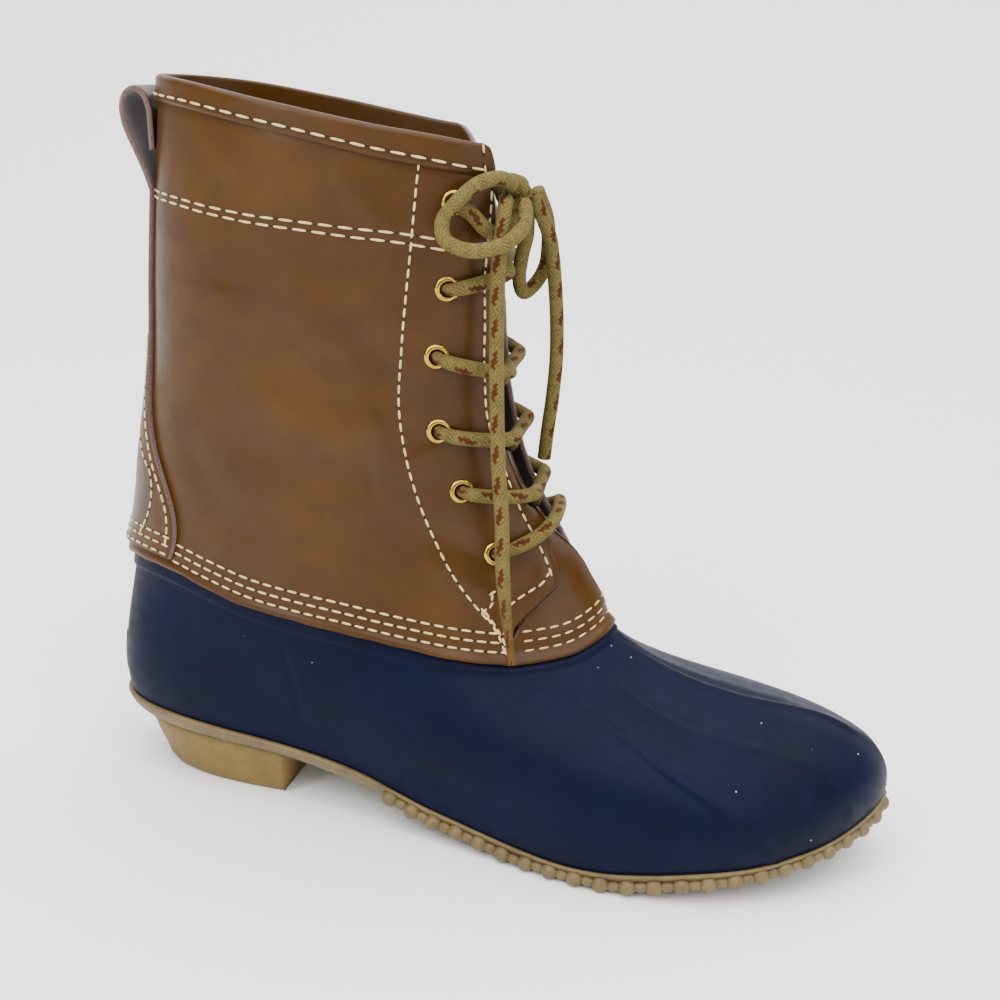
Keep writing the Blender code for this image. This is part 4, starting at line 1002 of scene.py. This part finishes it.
inner[:, -1] = top - inward
inner = np.concatenate([inner, (lap - inward)[:, None]], axis=1)
link_piece("moulded_rubber_lower", wall("moulded_rubber_lower", outer, inner, True), [navy, navy, navy],
           ["rubber_shell"])
print("rubber lower:", outer.shape)

# %% [markdown]
# ### Gum outsole and heel
# The sole is a thin moulded plate with a rim that stands out a little from the navy rubber.
# Round the forefoot its edge is a chain of round lugs; the same chain runs across underneath.

# %% Things that repeat along a path
def repeat_tree(name):
    """Geometry nodes: a shape on every pitch of a path, turned to follow path and surface."""
    tree = bpy.data.node_groups.new(name, "GeometryNodeTree")
    for label, kind in (("Path", "Geometry"), ("Shape", "Object"), ("Pitch", "Float"), ("Finish", "Material")):
        tree.interface.new_socket(label, in_out="INPUT", socket_type="NodeSocket" + kind)
    tree.interface.new_socket("Made", in_out="OUTPUT", socket_type="NodeSocketGeometry")
    start = add_node(tree, "NodeGroupInput").outputs
    curve = add_node(tree, "GeometryNodeMeshToCurve", links={"Mesh": start["Path"]})
    even = add_node(tree, "GeometryNodeResampleCurve", {"mode": "LENGTH"},
                    {"Curve": curve.outputs[0], "Length": start["Pitch"]})
    out = add_node(tree, "GeometryNodeInputNamedAttribute", {"data_type": "FLOAT_VECTOR", "Name": "out"})
    along = add_node(tree, "GeometryNodeInputTangent")
    first = add_node(tree, "FunctionNodeAlignEulerToVector", {"axis": "X"}, {"Vector": along.outputs[0]})
    second = add_node(tree, "FunctionNodeAlignEulerToVector", {"axis": "Z", "pivot_axis": "X"},
                      {"Rotation": first.outputs[0], "Vector": out.outputs[0]})
    shape = add_node(tree, "GeometryNodeObjectInfo", links={"Object": start["Shape"]})
    placed = add_node(tree, "GeometryNodeInstanceOnPoints", links={
        "Points": even.outputs[0], "Instance": shape.outputs["Geometry"], "Rotation": second.outputs[0]})
    real = add_node(tree, "GeometryNodeRealizeInstances", links={"Geometry": placed.outputs[0]})
    finish = add_node(tree, "GeometryNodeSetMaterial", links={"Geometry": real.outputs[0],
                                                              "Material": start["Finish"]})
    add_node(tree, "NodeGroupOutput", links={"Made": finish.outputs[0]})
    return tree


REPEAT = repeat_tree("repeat_along_path")


def repeat_along(name, paths, outs, shape_mesh, pitch, finish):
    """A plain mesh of one shape repeated along paths; outs are the surface directions."""
    mesh = bpy.data.meshes.new(name + "_path")
    edges, base = [], 0
    for path in paths:
        edges += [(base + k, base + k + 1) for k in range(len(path) - 1)]
        base += len(path)
    mesh.from_pydata(np.concatenate(paths).tolist(), edges, [])
    out = mesh.attributes.new("out", "FLOAT_VECTOR", "POINT")
    out.data.foreach_set("vector", np.concatenate(outs).ravel())
    holder, shape = place_object(name + "_path", mesh), place_object(name + "_shape", shape_mesh)
    live = holder.modifiers.new("repeat", "NODES")
    live.node_group = REPEAT
    for label, value in (("Shape", shape), ("Pitch", pitch), ("Finish", finish)):
        live[REPEAT.interface.items_tree[label].identifier] = value
    holder.update_tag()
    made = baked(holder, live)
    made.name = name
    for each in (holder, shape):
        old = each.data
        bpy.data.objects.remove(each)
        bpy.data.meshes.remove(old)
    shade(made)
    return made


def round_mesh(name, size_mm, segments=14, rings=9, power=2.0):
    """A rounded lump of a given size; a higher power makes it squarer."""
    theta = np.linspace(0, math.pi, rings + 1)[1:-1]
    phi = np.arange(segments) * 2 * math.pi / segments
    x = np.cos(theta)[:, None] * np.ones(segments)
    y, z = np.sin(theta)[:, None] * np.cos(phi), np.sin(theta)[:, None] * np.sin(phi)
    if power != 2.0:
        x = np.sign(x) * np.abs(x) ** (2 / power)
    body = np.stack([x, y, z], -1).reshape(-1, 3)
    points = np.concatenate([[(1, 0, 0)], body, [(-1, 0, 0)]]) * 0.5 * np.array(size_mm) * MM
    faces = [(0, 1 + (k + 1) % segments, 1 + k) for k in range(segments)]
    faces += ring_faces(segments, rings - 1, 1)
    a, end = 1 + (rings - 2) * segments, len(points) - 1
    faces += [(a + k, a + (k + 1) % segments, end) for k in range(segments)]
    return mesh_from(name, points, faces)


# %% Outsole
UNDERCUT = 0.0050             # the sole's side leans in towards the floor
TUCK, TUCK_FROM = 0.0016, (0.36, 0.42)      # behind the lugs the plate is drawn in, from these shares on
LEAN = (                      # along, share of UNDERCUT
    (0.00, 0.55), (0.25, 0.45), (0.45, 0.70), (0.60, 1.00), (0.90, 1.00), (1.00, 0.80),
)
SOLE_EDGE = (
    # out from the rim mm, leaning share, height share (1 top, 0 underside)
    (-1.2, 0.0, 1.0), (0.6, 0.0, 1.0), (1.2, 0.0, 0.95), (1.4, 0.05, 0.86), (1.3, 0.15, 0.70),
    (1.0, 0.40, 0.45), (0.6, 0.75, 0.22), (0.0, 0.95, 0.06), (-1.2, 1.0, 0.0),
)
SOLE_AROUND = 180
sole_rounds = np.linspace(0, 1, SOLE_AROUND)
sole_rim = both_sides(rim_side, sole_rounds)
sole_out = loop_normals(sole_rim)
share = sole_share(sole_rim[:, 0])
lean = UNDERCUT * smooth(share, column(LEAN, 0), column(LEAN, 1))
rings = []
for out_mm, lean_share, height_share in SOLE_EDGE:
    drawn_in = TUCK * soft_step(share, *TUCK_FROM) * (1 - height_share) ** 0.5
    plan = sole_rim + (out_mm * MM - lean_share * lean - drawn_in)[:, None] * sole_out
    upper, lower = rim_height(sole_rim[:, 0]), underside_height(plan[:, 0])
    rings.append(np.column_stack([plan, lower + height_share * (upper - lower)]))
rings = np.array(rings)
ACROSS = 12


def closed_plate(rings, lower_height):
    """Rings joined into a side wall, closed above and below by strips across."""
    count = rings.shape[1]
    half = count // 2
    points = rings.reshape(-1, 3).tolist()
    faces = ring_faces(count, len(rings))
    for r, lower in ((0, False), (len(rings) - 1, True)):
        rows = []
        for i in range(1, half):
            a, b = rings[r, i], rings[r, count - i]
            line = [r * count + i]
            for k in range(1, ACROSS):
                spot = a + (b - a) * k / ACROSS
                if lower:
                    spot[2] = lower_height(spot)
                line.append(len(points))
                points.append(spot.tolist())
            rows.append(line + [r * count + count - i])
        for one, two in zip(rows, rows[1:]):
            faces += [(one[k], one[k + 1], two[k + 1], two[k]) for k in range(ACROSS)]
        for row, tip in ((rows[0], r * count), (rows[-1], r * count + half)):
            faces += [(row[k], row[k + 1], tip) for k in range(ACROSS)]
    return points, faces


points, faces = closed_plate(rings, lambda spot: float(underside_height(spot[0])))
sole_mesh = mesh_from("outsole_plate", points, faces)

LUG_PITCH, LUG_START, LUG_OUT, LUG_RISE = 0.0092, 0.395, 0.0011, 0.0030
fine = np.linspace(LUG_START, 1.0, 260)
chain = np.concatenate([rim_side(fine, -1), rim_side(fine[:-1], 1)[::-1]])
tangent = unit(np.gradient(chain, axis=0))
chain_out = np.stack([tangent[:, 1], -tangent[:, 0]], -1)
chain_lean = UNDERCUT * smooth(sole_share(chain[:, 0]), column(LEAN, 0), column(LEAN, 1))
plan = chain + (LUG_OUT - 0.36 * chain_lean)[:, None] * chain_out
low, high = underside_height(plan[:, 0]), rim_height(plan[:, 0])
chain_points = np.column_stack([plan, low + 0.0001 + np.minimum(LUG_RISE, 0.48 * (high - low))])
chain_normal = np.column_stack([chain_out, np.zeros(len(chain))])
balls = repeat_along("sole_lugs", [chain_points], [chain_normal], round_mesh("ball", (6.2, 6.0, 5.8), 18, 12),
                     LUG_PITCH, gum)
links = repeat_along("sole_links", [chain_points], [chain_normal], round_mesh("link", (5.6, 4.0, 3.8), 12, 8),
                     0.5 * LUG_PITCH, gum)

TREAD_INSET, TREAD_WAVE, TREAD_PITCH, TREAD_POINTS = 0.0105, 0.0013, 0.0062, 30
tread_paths, tread_outs = [], []
edges = [rim_side(np.linspace(0, 1, 300), side) for side in (-1, 1)]
for x in np.concatenate([np.arange(0.070, 0.212, LUG_PITCH), np.arange(0.030, 0.052, LUG_PITCH)]):
    sides = [float(np.interp(x, edge[:, 0], edge[:, 1])) for edge in edges]
    y = np.linspace(sides[0] + TREAD_INSET, sides[1] - TREAD_INSET, TREAD_POINTS)
    wave = x + TREAD_WAVE * np.sin(np.linspace(0, 1, TREAD_POINTS) * 6 * math.pi)
    tread_paths.append(np.column_stack([wave, y, underside_height(wave) + 0.0010]))
    tread_outs.append(np.tile((0.0, 0.0, -1.0), (TREAD_POINTS, 1)))
tread = repeat_along("sole_tread", tread_paths, tread_outs, round_mesh("tread_ball", (6.2, 4.4, 2.0), 12, 8),
                     TREAD_PITCH, gum)
sole = join_meshes("gum_outsole", [sole_mesh, balls, links, tread])
sole.materials.clear()
link_piece("gum_outsole", sole, [gum], ["outsole"])
print("outsole:", len(sole.polygons), "faces")

# %% Heel
HEEL_RINGS = (
    # inset mm, setback mm, height share, drop mm
    (3.5, 4.0, 1.00, 0.3), (4.2, 4.8, 0.80, 0.0), (5.4, 6.0, 0.55, 0.0), (6.9, 7.4, 0.30, 0.0),
    (7.8, 8.2, 0.12, 0.0), (8.7, 8.8, 0.04, 0.0), (10.2, 10.0, 0.00, 0.0),
)
BREAST, BREAST_LEAN = 0.0220, 0.0012
HEEL_COLUMNS = 46


def heel_ring(inset, pulled):
    shares = np.linspace(0, 1, 300)
    keep = float(np.interp(BREAST, rim_side(shares, -1)[:, 0], shares))
    loop = both_sides(rim_side, np.append(np.linspace(0, keep, HEEL_COLUMNS), 1.0))
    loop = loop - inset * loop_normals(loop)
    plan = np.concatenate([loop[:HEEL_COLUMNS], loop[HEEL_COLUMNS + 1:]])
    back = plan[0, 0]
    plan[:, 0] = BREAST + (plan[:, 0] - BREAST) * (BREAST - back - pulled) / (BREAST - back)
    plan[:, 0] = np.minimum(plan[:, 0], BREAST)
    plan[HEEL_COLUMNS - 1:HEEL_COLUMNS + 1, 0] = BREAST
    return plan


rows = []
for inset_mm, setback_mm, height, drop_mm in HEEL_RINGS:
    plan = heel_ring(inset_mm * MM, setback_mm * MM)
    plan[HEEL_COLUMNS - 1:HEEL_COLUMNS + 1, 0] -= BREAST_LEAN * (1 - height)
    rows.append(np.column_stack([plan, height * underside_height(plan[:, 0]) - drop_mm * MM]))
count = len(rows[0])
faces = ring_faces(count, len(rows))
for base in (0, (len(rows) - 1) * count):
    faces.append((base, base + 1, base + count - 1))
    for i in range(1, HEEL_COLUMNS - 1):
        faces.append((base + i, base + i + 1, base + count - 1 - i, base + count - i))
mesh = mesh_from("heel_block", np.concatenate(rows), faces)
link_piece("heel_block", mesh, [ochre], ["heel"])
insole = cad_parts["insole"].data       # the insole keeps its plain solid under woven cloth
insole.materials.clear()
insole.materials.append(insole_cloth)
print("heel done")

# %% [markdown]
# ### Leather shaft
# Two quarters, sewn to one hollow wall of 2 mm leather. The top is turned down and sewn as a cuff,
# the bottom is a raw edge over the rubber, and the front edges are the lace flaps.
# A loft through the shaft's sections gives the form; every crease is a listed line.

# %% Leather relief
FOLD_BACK, FOLD_FRONT = 0.948, 0.940
CUFF_OUT = 0.0013
TURNED_IN = 0.034             # smooth leather inside, below the collar at the back
LEATHER_CREASES = (
    # side, depth mm, width mm, line of (up, share)
    (-1, -0.8, 9.0, ((0.36, 0.30), (0.31, 0.42), (0.30, 0.52), (0.34, 0.64))),
    (-1, 0.8, 8.0, ((0.45, 0.36), (0.40, 0.46), (0.39, 0.56), (0.44, 0.66))),
    (-1, -0.6, 7.0, ((0.62, 0.60), (0.55, 0.66), (0.48, 0.70), (0.40, 0.74))),
    (-1, 0.5, 7.0, ((0.70, 0.44), (0.62, 0.50), (0.54, 0.54))),
    (-1, -0.7, 6.0, ((0.26, 0.70), (0.21, 0.76), (0.17, 0.83), (0.15, 0.88))),
    (-1, 0.5, 5.0, ((0.18, 0.70), (0.14, 0.76), (0.12, 0.82))),
    (-1, -0.6, 6.0, ((0.30, 0.22), (0.20, 0.28), (0.12, 0.36))),
    (-1, -0.5, 8.0, ((0.86, 0.30), (0.74, 0.34), (0.62, 0.33))),
    (-1, 0.4, 5.0, ((0.93, 0.55), (0.86, 0.60), (0.80, 0.68))),
    (1, -0.8, 9.0, ((0.34, 0.26), (0.30, 0.40), (0.31, 0.55), (0.36, 0.66))),
    (1, 0.7, 8.0, ((0.44, 0.34), (0.40, 0.48), (0.42, 0.62))),
    (1, -0.6, 7.0, ((0.60, 0.58), (0.52, 0.66), (0.42, 0.72))),
    (1, -0.6, 6.0, ((0.25, 0.68), (0.19, 0.78), (0.15, 0.86))),
    (1, 0.5, 8.0, ((0.80, 0.40), (0.68, 0.44), (0.58, 0.42))),
)


def lap_out(up, share):
    """How far the leather stands off below its old edge, where it lies over the rubber."""
    down = np.maximum(0.0, -np.asarray(up)) * SHAFT_RISE
    slope = np.interp(share, column(RUBBER_SLOPE, 0), column(RUBBER_SLOPE, 1))
    return down * slope + 0.0010 * soft_step(down, -0.0006, 0.0012)


def fold_at(share):
    return FOLD_BACK + (FOLD_FRONT - FOLD_BACK) * soft_step(share, 0.3, 0.8)


def crease_lines():
    lines = []
    for side, depth, width, line in LEATHER_CREASES:
        line = np.array(line)
        lines.append((depth, width, shaft_point(line[:, 0], line[:, 1], np.full(len(line), side)) / MM))
    return lines


CREASES = crease_lines()


def leather_height(up, share, side):
    """How far the leather's surface stands off the plain shaft: creases only."""
    spots = shaft_point(up, share, side)
    return relief(spots.reshape(-1, 3), CREASES).reshape(spots.shape[:-1])


# %% Quarters
EDGE_DROP = 0.0165            # the raw edge hangs this share of the shaft lower, over the rubber
RUBBER_SLOPE = (
    # round, run out for each length down
    (0.00, 0.06), (0.24, 0.08), (0.50, 0.16), (0.68, 0.45), (0.81, 0.95), (0.92, 0.92), (1.00, 0.84),
)
QUARTER_END = 0.785           # way round the edge where the quarters end at the bottom
CORNER = 0.030                # the cuff's front corner is rounded over this much of the height
low_rows = np.concatenate([np.linspace(-EDGE_DROP, 0.20, 40), np.linspace(0.205, 0.935, 74)])
TURNS = np.linspace(0, 1, 110)


def quarter_shares(up, side):
    end = throat_share(min(max(up, 0.0), 1.0), side)
    pull = np.clip((TURNS - 0.45) / 0.55, 0, 1) ** 1.5
    shares = QUARTER_END * TURNS
    # so does the flap's edge
    end += 0.0012 * math.sin(61 * up) + 0.0008 * math.sin(173 * up + side)
    if up > 1 - CORNER:
        end -= 0.020 * (1 - math.sqrt(max(0.0, 1 - ((up - 1 + CORNER) / CORNER) ** 2)))
    return shares + pull * (end - shares[-1])


def cuff_rows(share):
    """Height and stand-off of the cuff's rows, from its lower edge over the rounded top."""
    fold = fold_at(share)
    rows = [(fold - 0.0016, 0.0), (fold - 0.0002, 0.0), (fold, 0.0006), (fold + 0.0014, CUFF_OUT)]
    rows += [(fold + step * (1 - fold), CUFF_OUT) for step in (0.12, 0.3, 0.5, 0.7, 0.82)]
    return rows + [(0.9935 + 0 * fold, 0.0012), (0.9975 + 0 * fold, 0.0007), (0.9998 + 0 * fold, -0.0002)]


def quarter_half(side):
    """Outer and inner grid of one side: columns from back to front, rows upward."""
    outer, inner = [], []
    for up in low_rows:
        shares = quarter_shares(up, side)
        ups = np.full(len(shares), up)
        high = leather_height(ups, shares, side) + lap_out(ups, shares)
        # the raw edge waves a little, as cut by hand
        wave = 0.0010 * np.sin(34 * shares) + 0.0006 * np.sin(91 * shares + side)
        ups = ups + (wave if up < -0.005 else 0.0)
        outer.append(on_shaft(ups, shares, side, high))
        inner.append(on_shaft(ups, shares, side, high - LEATHER))
    shares = quarter_shares(0.97, side)
    for k, (ups, out) in enumerate(cuff_rows(shares)):
        level = float(np.mean(ups))
        mine = quarter_shares(level, side)
        ups, out = cuff_rows(mine)[k]
        high = leather_height(ups, mine, side)
        outer.append(on_shaft(ups, mine, side, high + out))
        thin = 0.0010 if level > 0.999 else 0.0
        inner.append(on_shaft(ups, mine, side, high - LEATHER + thin))
    return np.array(outer), np.array(inner)


halves = [quarter_half(side) for side in (1, -1)]
outer, inner = (np.concatenate([halves[0][k][:, :0:-1], halves[1][k]], axis=1).transpose(1, 0, 2)
                for k in (0, 1))
shaft_mesh = wall("leather_shaft", outer, inner, False)
for face in shaft_mesh.polygons:      # the top of the inside is the turned-in smooth leather
    if face.material_index == 1 and face.center.z > COLLAR_HEIGHT - TURNED_IN:
        face.material_index = 0
quarters = link_piece("leather_shaft", shaft_mesh,
                      [brown_leather, flesh_side, cut_edge], ["quarters"])
cutters = []
for centre, normal in EYELET_PLACES.values():
    points, faces = turned(((0.01, -6.0), (2.75, -6.0), (2.75, 4.0), (0.01, 4.0)), centre, normal, 24)
    cutters.append(mesh_from("hole", points, faces, smooth_faces=False))
cutter = place_object("eyelet_holes", join_meshes("eyelet_holes", cutters))
cut = quarters.modifiers.new("holes", "BOOLEAN")
cut.object, cut.operation, cut.solver = cutter, "DIFFERENCE", "EXACT"
quarters.data = baked(quarters, cut)
bpy.data.objects.remove(cutter)
print("shaft:", len(quarters.data.polygons), "faces")

# %% [markdown]
# ### Tongue and vamp
# The front leather lies under the flaps: its foot is sewn to the rubber with the quarters,
# and above it folds in as a gusset behind the lacing.

# %% Tongue and vamp
TONGUE_ROOM, TONGUE_EDGE_ROOM = 0.0105, 0.0034
TONGUE_ROWS = (
    # up, room, under
    (0.000, 0.00, 0.00), (0.030, 0.03, 0.00), (0.066, 0.17, 0.00), (0.090, 0.27, 0.03), (0.123, 0.33, 0.06),
    (0.160, 0.44, 0.07), (0.200, 0.70, 0.08), (0.300, 1.00, 0.09), (0.450, 1.00, 0.10), (0.600, 1.05, 0.10),
    (0.730, 1.40, 0.10), (0.900, 1.50, 0.10),
)
ACROSS_TONGUE = np.linspace(0, 1, 46)


def tongue_start(row, side):
    up, _, under = row
    start = QUARTER_END if up == 0.0 else throat_share(up, side) - under
    return start + (0.0035 if under == 0.0 else 0.0)


def tongue_line(up, side):
    """Ways round and depths of the front leather at one height."""
    heights = column(TONGUE_ROWS, 0)
    start = float(np.interp(up, heights, [tongue_start(row, side) for row in TONGUE_ROWS]))
    room = float(np.interp(up, heights, column(TONGUE_ROWS, 1))) * TONGUE_ROOM
    shares = start + (1 - start) * ACROSS_TONGUE
    edge = min(room, TONGUE_EDGE_ROOM)
    return shares, edge + (room - edge) * soft_step(ACROSS_TONGUE, 0, 1)


outer, inner = [], []
for up in np.concatenate([np.linspace(-EDGE_DROP, 0.20, 38), np.linspace(0.21, 0.90, 60)]):
    lines = []
    for side in (-1, 1):
        shares, depth = tongue_line(max(up, 0.0), side)
        ups = np.full(len(shares), up)
        pleat = 0.0005 * np.sin(9 * ACROSS_TONGUE + 14 * up) * soft_step(up, 0.15, 0.4)
        out = pleat - depth + lap_out(ups, shares)
        line = [on_shaft(ups, shares, side, out - thick) for thick in (0.0, LEATHER)]
        for each in line:
            each[-1, 1] = 0.0
        lines.append(line)
    for k, rows in enumerate((outer, inner)):
        rows.append(np.concatenate([lines[0][k], lines[1][k][-2::-1]]))
outer, inner = np.array(outer).transpose(1, 0, 2), np.array(inner).transpose(1, 0, 2)
link_piece("vamp_and_gusset", wall("vamp_and_gusset", outer, inner, False),
           [brown_leather, flesh_side, cut_edge], ["tongue"])
print("front leather:", outer.shape)

# %% [markdown]
# ### Back stay and pull loop
# One strap runs up the back seam, flares at its foot and folds over into the loop.
# Its cut edges show the purple-brown fibre of the hide, so they get their own fuzzy material.

# %% Back stay
STAY_WIDTH, STAY_FOOT_WIDTH, STAY_THICKNESS, STAY_SEAT = 0.0220, 0.0860, 0.0020, 0.0004
STAY_FLARE = (
    # height as a share of COLLAR_HEIGHT, share of the foot's extra width
    (0.30, 0.98), (0.355, 1.00), (0.40, 0.93), (0.44, 0.74), (0.48, 0.52), (0.53, 0.30),
    (0.58, 0.14), (0.63, 0.04), (0.68, 0.00), (1.00, 0.00),
)
LOOP = (
    # height, out (shares of COLLAR_HEIGHT)
    (0.845, 0.0050), (0.868, 0.0120), (0.900, 0.0260), (0.930, 0.0400), (0.955, 0.0450), (0.972, 0.0400),
    (0.979, 0.0280), (0.972, 0.0160), (0.955, 0.0085), (0.930, 0.0068), (0.900, 0.0062),
)
LOOP_BOW = 0.75
STAY_COLUMNS = np.linspace(-1, 1, 37)


def stay_share(up):
    """Half of the back stay's width as a share of the way round the shaft."""
    height = EDGE_HEIGHT + up * SHAFT_RISE
    flare = float(smooth(height / COLLAR_HEIGHT, column(STAY_FLARE, 0), column(STAY_FLARE, 1)))
    half_way = path_length(shaft_point(up, np.linspace(0, 1, 60), -1))
    return 0.5 * (STAY_WIDTH + (STAY_FOOT_WIDTH - STAY_WIDTH) * flare) / half_way


STAY_LIFT = 0.0012            # the stay's foot above the leather's old edge
stay_outer, stay_inner = [], []
for height in np.linspace(EDGE_HEIGHT + STAY_LIFT, LOOP[0][0] * COLLAR_HEIGHT, 90):
    up = (height - EDGE_HEIGHT) / SHAFT_RISE
    at = np.abs(STAY_COLUMNS) * stay_share(up) * (1 + 0.006 * math.sin(40 * up))
    sides = np.where(STAY_COLUMNS <= 0, -1, 1)
    press = 0.0003 * np.exp(-((np.abs(STAY_COLUMNS) - 0.86) / 0.05) ** 2)
    for depth, rows in ((STAY_SEAT + STAY_THICKNESS - press, stay_outer), (STAY_SEAT, stay_inner)):
        rows.append(on_shaft(up, at, sides, depth))
loop = np.array(LOOP) * COLLAR_HEIGHT
path = along_path(np.column_stack([-loop[:, 1], loop[:, 0]]), np.linspace(0, 1, 60))
tangent = unit(np.gradient(path, axis=0))
normal = np.column_stack([-tangent[:, 1], tangent[:, 0]])
last_row = stay_outer[-1]
bow = last_row[:, 0] - last_row[len(STAY_COLUMNS) // 2, 0]
for k in range(1, len(path)):
    up = (path[k, 1] - EDGE_HEIGHT) / SHAFT_RISE
    back = shaft_point(min(up, 1.0), 0.0, -1)[0]
    keep = 1 - LOOP_BOW * math.sin(math.pi * k / (len(path) - 1))
    for sign, rows in ((1, stay_outer), (-1, stay_inner)):
        spot = path[k] + sign * 0.5 * STAY_THICKNESS * normal[k]
        rows.append(np.column_stack([back + spot[0] + bow * keep, STAY_COLUMNS * 0.5 * STAY_WIDTH,
                                     np.full(len(STAY_COLUMNS), spot[1])]))
stay_mesh = wall("back_stay_and_loop", np.stack(stay_outer, 1), np.stack(stay_inner, 1), False)
link_piece("back_stay_and_loop", stay_mesh,
           [brown_leather, flesh_side, cut_edge], ["back_stay"])
print("stay done")

# %% [markdown]
# ### Stitching
# Waxed thread in a lock stitch: each stitch is a short fat lozenge that sinks at both ends,
# with a dark lozenge of painted shade for the needle hole between two of them. The rows follow the lines of
# the photo.

# %% Stitch rows
def on_quarter(up, share, side):
    cuff = CUFF_OUT * soft_step(up - fold_at(share), -0.0002, 0.001)
    return leather_height(up, share, side) + cuff + lap_out(up, share)


def on_front(up, share, side):
    out = np.zeros(len(up))
    for k in range(len(up)):
        shares, depth = tongue_line(max(up[k], 0.0), side)
        out[k] = -np.interp(share[k], shares, depth)
    return out


def on_stay(up, share, side):
    return np.full(len(up), STAY_SEAT + STAY_THICKNESS)


ROWS = (
    # pitch mm, stitch mm, line of (up, share)
    (6.5, 4.9, ((0.962, 0.02), (0.962, 0.30), (0.960, 0.50), (0.956, 0.70), (0.952, 0.825))),
    (6.5, 4.9, ((0.770, 0.058), (0.770, 0.235), (0.780, 0.37), (0.790, 0.475), (0.800, 0.575),
                (0.810, 0.67), (0.812, 0.775))),
    (6.5, 4.9, ((0.757, 0.058), (0.757, 0.235), (0.766, 0.37), (0.775, 0.475), (0.784, 0.575),
                (0.793, 0.67), (0.794, 0.795))),
    (4.3, 3.1, ((0.94, 0.712), (0.91, 0.710), (0.80, 0.705), (0.69, 0.700), (0.59, 0.695),
                (0.49, 0.690), (0.39, 0.695), (0.29, 0.705), (0.21, 0.715), (0.14, 0.730),
                (0.09, 0.755), (0.075, 0.765))),
    (4.3, 3.1, ((0.93, 0.862), (0.85, 0.858), (0.75, 0.855), (0.65, 0.862), (0.59, 0.862),
                (0.54, 0.865), (0.48, 0.868), (0.44, 0.875), (0.37, 0.888), (0.31, 0.893),
                (0.27, 0.896), (0.22, 0.900), (0.18, 0.902), (0.152, 0.900))),
    (4.3, 3.1, ((0.150, 0.896), (0.130, 0.870), (0.120, 0.845), (0.102, 0.815))),
    (3.6, 2.7, ((0.990, 0.832), (0.970, 0.834), (0.952, 0.838))),
    (3.0, 2.4, ((0.118, 0.800), (0.126, 0.782), (0.108, 0.786), (0.086, 0.766))),
    (3.2, 2.8, ((0.085, 0.765), (0.060, 0.776), (0.035, 0.786), (0.010, 0.792))),
    (3.4, 2.8, ((0.080, 0.770), (0.055, 0.782), (0.030, 0.792), (0.005, 0.798))),
)
BOTTOM_ROWS = (0.0035, 0.0230, 0.0420)
THREAD_LIFT = 0.00012
STAY_MARGIN = 0.014           # from a stitch to the stay's edge, share of the way round


def stitch_paths(surface, line):
    """Paths on both sides of the boot, just above the surface, with its directions."""
    line = np.array(line, float)
    paths, outs = [], []
    for side in (-1, 1):
        up, share = along_path(line, np.linspace(0, 1, 16 * len(line))).T
        if surface is on_quarter:
            share = np.minimum(share, [quarter_shares(u, side)[-1] - 0.006 for u in up])
        paths.append(on_shaft(up, share, side, surface(up, share, side) + THREAD_LIFT))
        outs.append(shaft_normal(up, share, side))
    return paths, outs


def half_on(path, pitch):
    """A path that starts half a pitch later, for the painted shade of the needle holes between the stitches.
    """
    length = path_length(path)
    count = max(1, round(length / pitch))
    step = length / count
    wanted = np.linspace(0.5 * step, length - 0.5 * step, max(2, 4 * count))
    return read_along(path, lengths_along(path), wanted)


seams = {}


def add_row(surface, pitch_mm, stitch_mm, line):
    seams.setdefault((pitch_mm, stitch_mm), []).append(stitch_paths(surface, line))


for row in ROWS:
    add_row(on_quarter, *row)
for level in BOTTOM_ROWS:
    edge = stay_share(level)
    add_row(on_quarter, 4.7, 3.4, [(level, share) for share in np.linspace(edge + 0.012, 0.800, 14)])
    add_row(on_front, 4.7, 3.4, [(level, share) for share in np.linspace(0.835, 0.998, 8)])
    low = level + 0.012
    end = stay_share(low) - STAY_MARGIN
    add_row(on_stay, 4.7, 3.4, [(low, share) for share in np.linspace(0.004, end, 6)])
add_row(on_stay, 3.9, 2.9, [(up, stay_share(up) - STAY_MARGIN) for up in np.linspace(0.045, 0.46, 16)])
add_row(on_stay, 3.9, 2.9, ((0.25, 0.075), (0.21, 0.105), (0.18, 0.135), (0.15, 0.140), (0.10, 0.135),
                            (0.045, 0.115)))

thread_parts, hole_shade_parts = [], []
for (pitch_mm, stitch_mm), rows in seams.items():
    paths = [path for row in rows for path in row[0]]
    outs = [out for row in rows for out in row[1]]
    label = f"seam_{int(10 * pitch_mm)}_{int(10 * stitch_mm)}"
    stitch = round_mesh("stitch", (stitch_mm + 0.2, 0.85, 0.70), 8, 6, 3.0)
    thread_parts.append(repeat_along(label, paths, outs, stitch, pitch_mm * MM, thread))
    shifted = [half_on(path, pitch_mm * MM) for path in paths]
    hole_outs = [read_along(out, np.linspace(0, 1, len(out)), np.linspace(0, 1, len(path)))
                 for out, path in zip(outs, shifted)]
    # each needle hole is a small dark lozenge of painted shade, half a pitch from the stitches
    hole = round_mesh("painted_hole_shade", (pitch_mm - stitch_mm + 0.5, 0.55, 0.30), 6, 4)
    hole_shade_parts.append(repeat_along(label + "_holes", shifted, hole_outs, hole, pitch_mm * MM, painted_hole_shade))
for name, parts, finish in (("thread_stitches", thread_parts, thread),
                            ("needle_holes", hole_shade_parts, painted_hole_shade)):
    mesh = join_meshes(name, parts)
    mesh.materials.clear()
    link_piece(name, mesh, [finish])
    print(name, len(mesh.polygons), "faces")
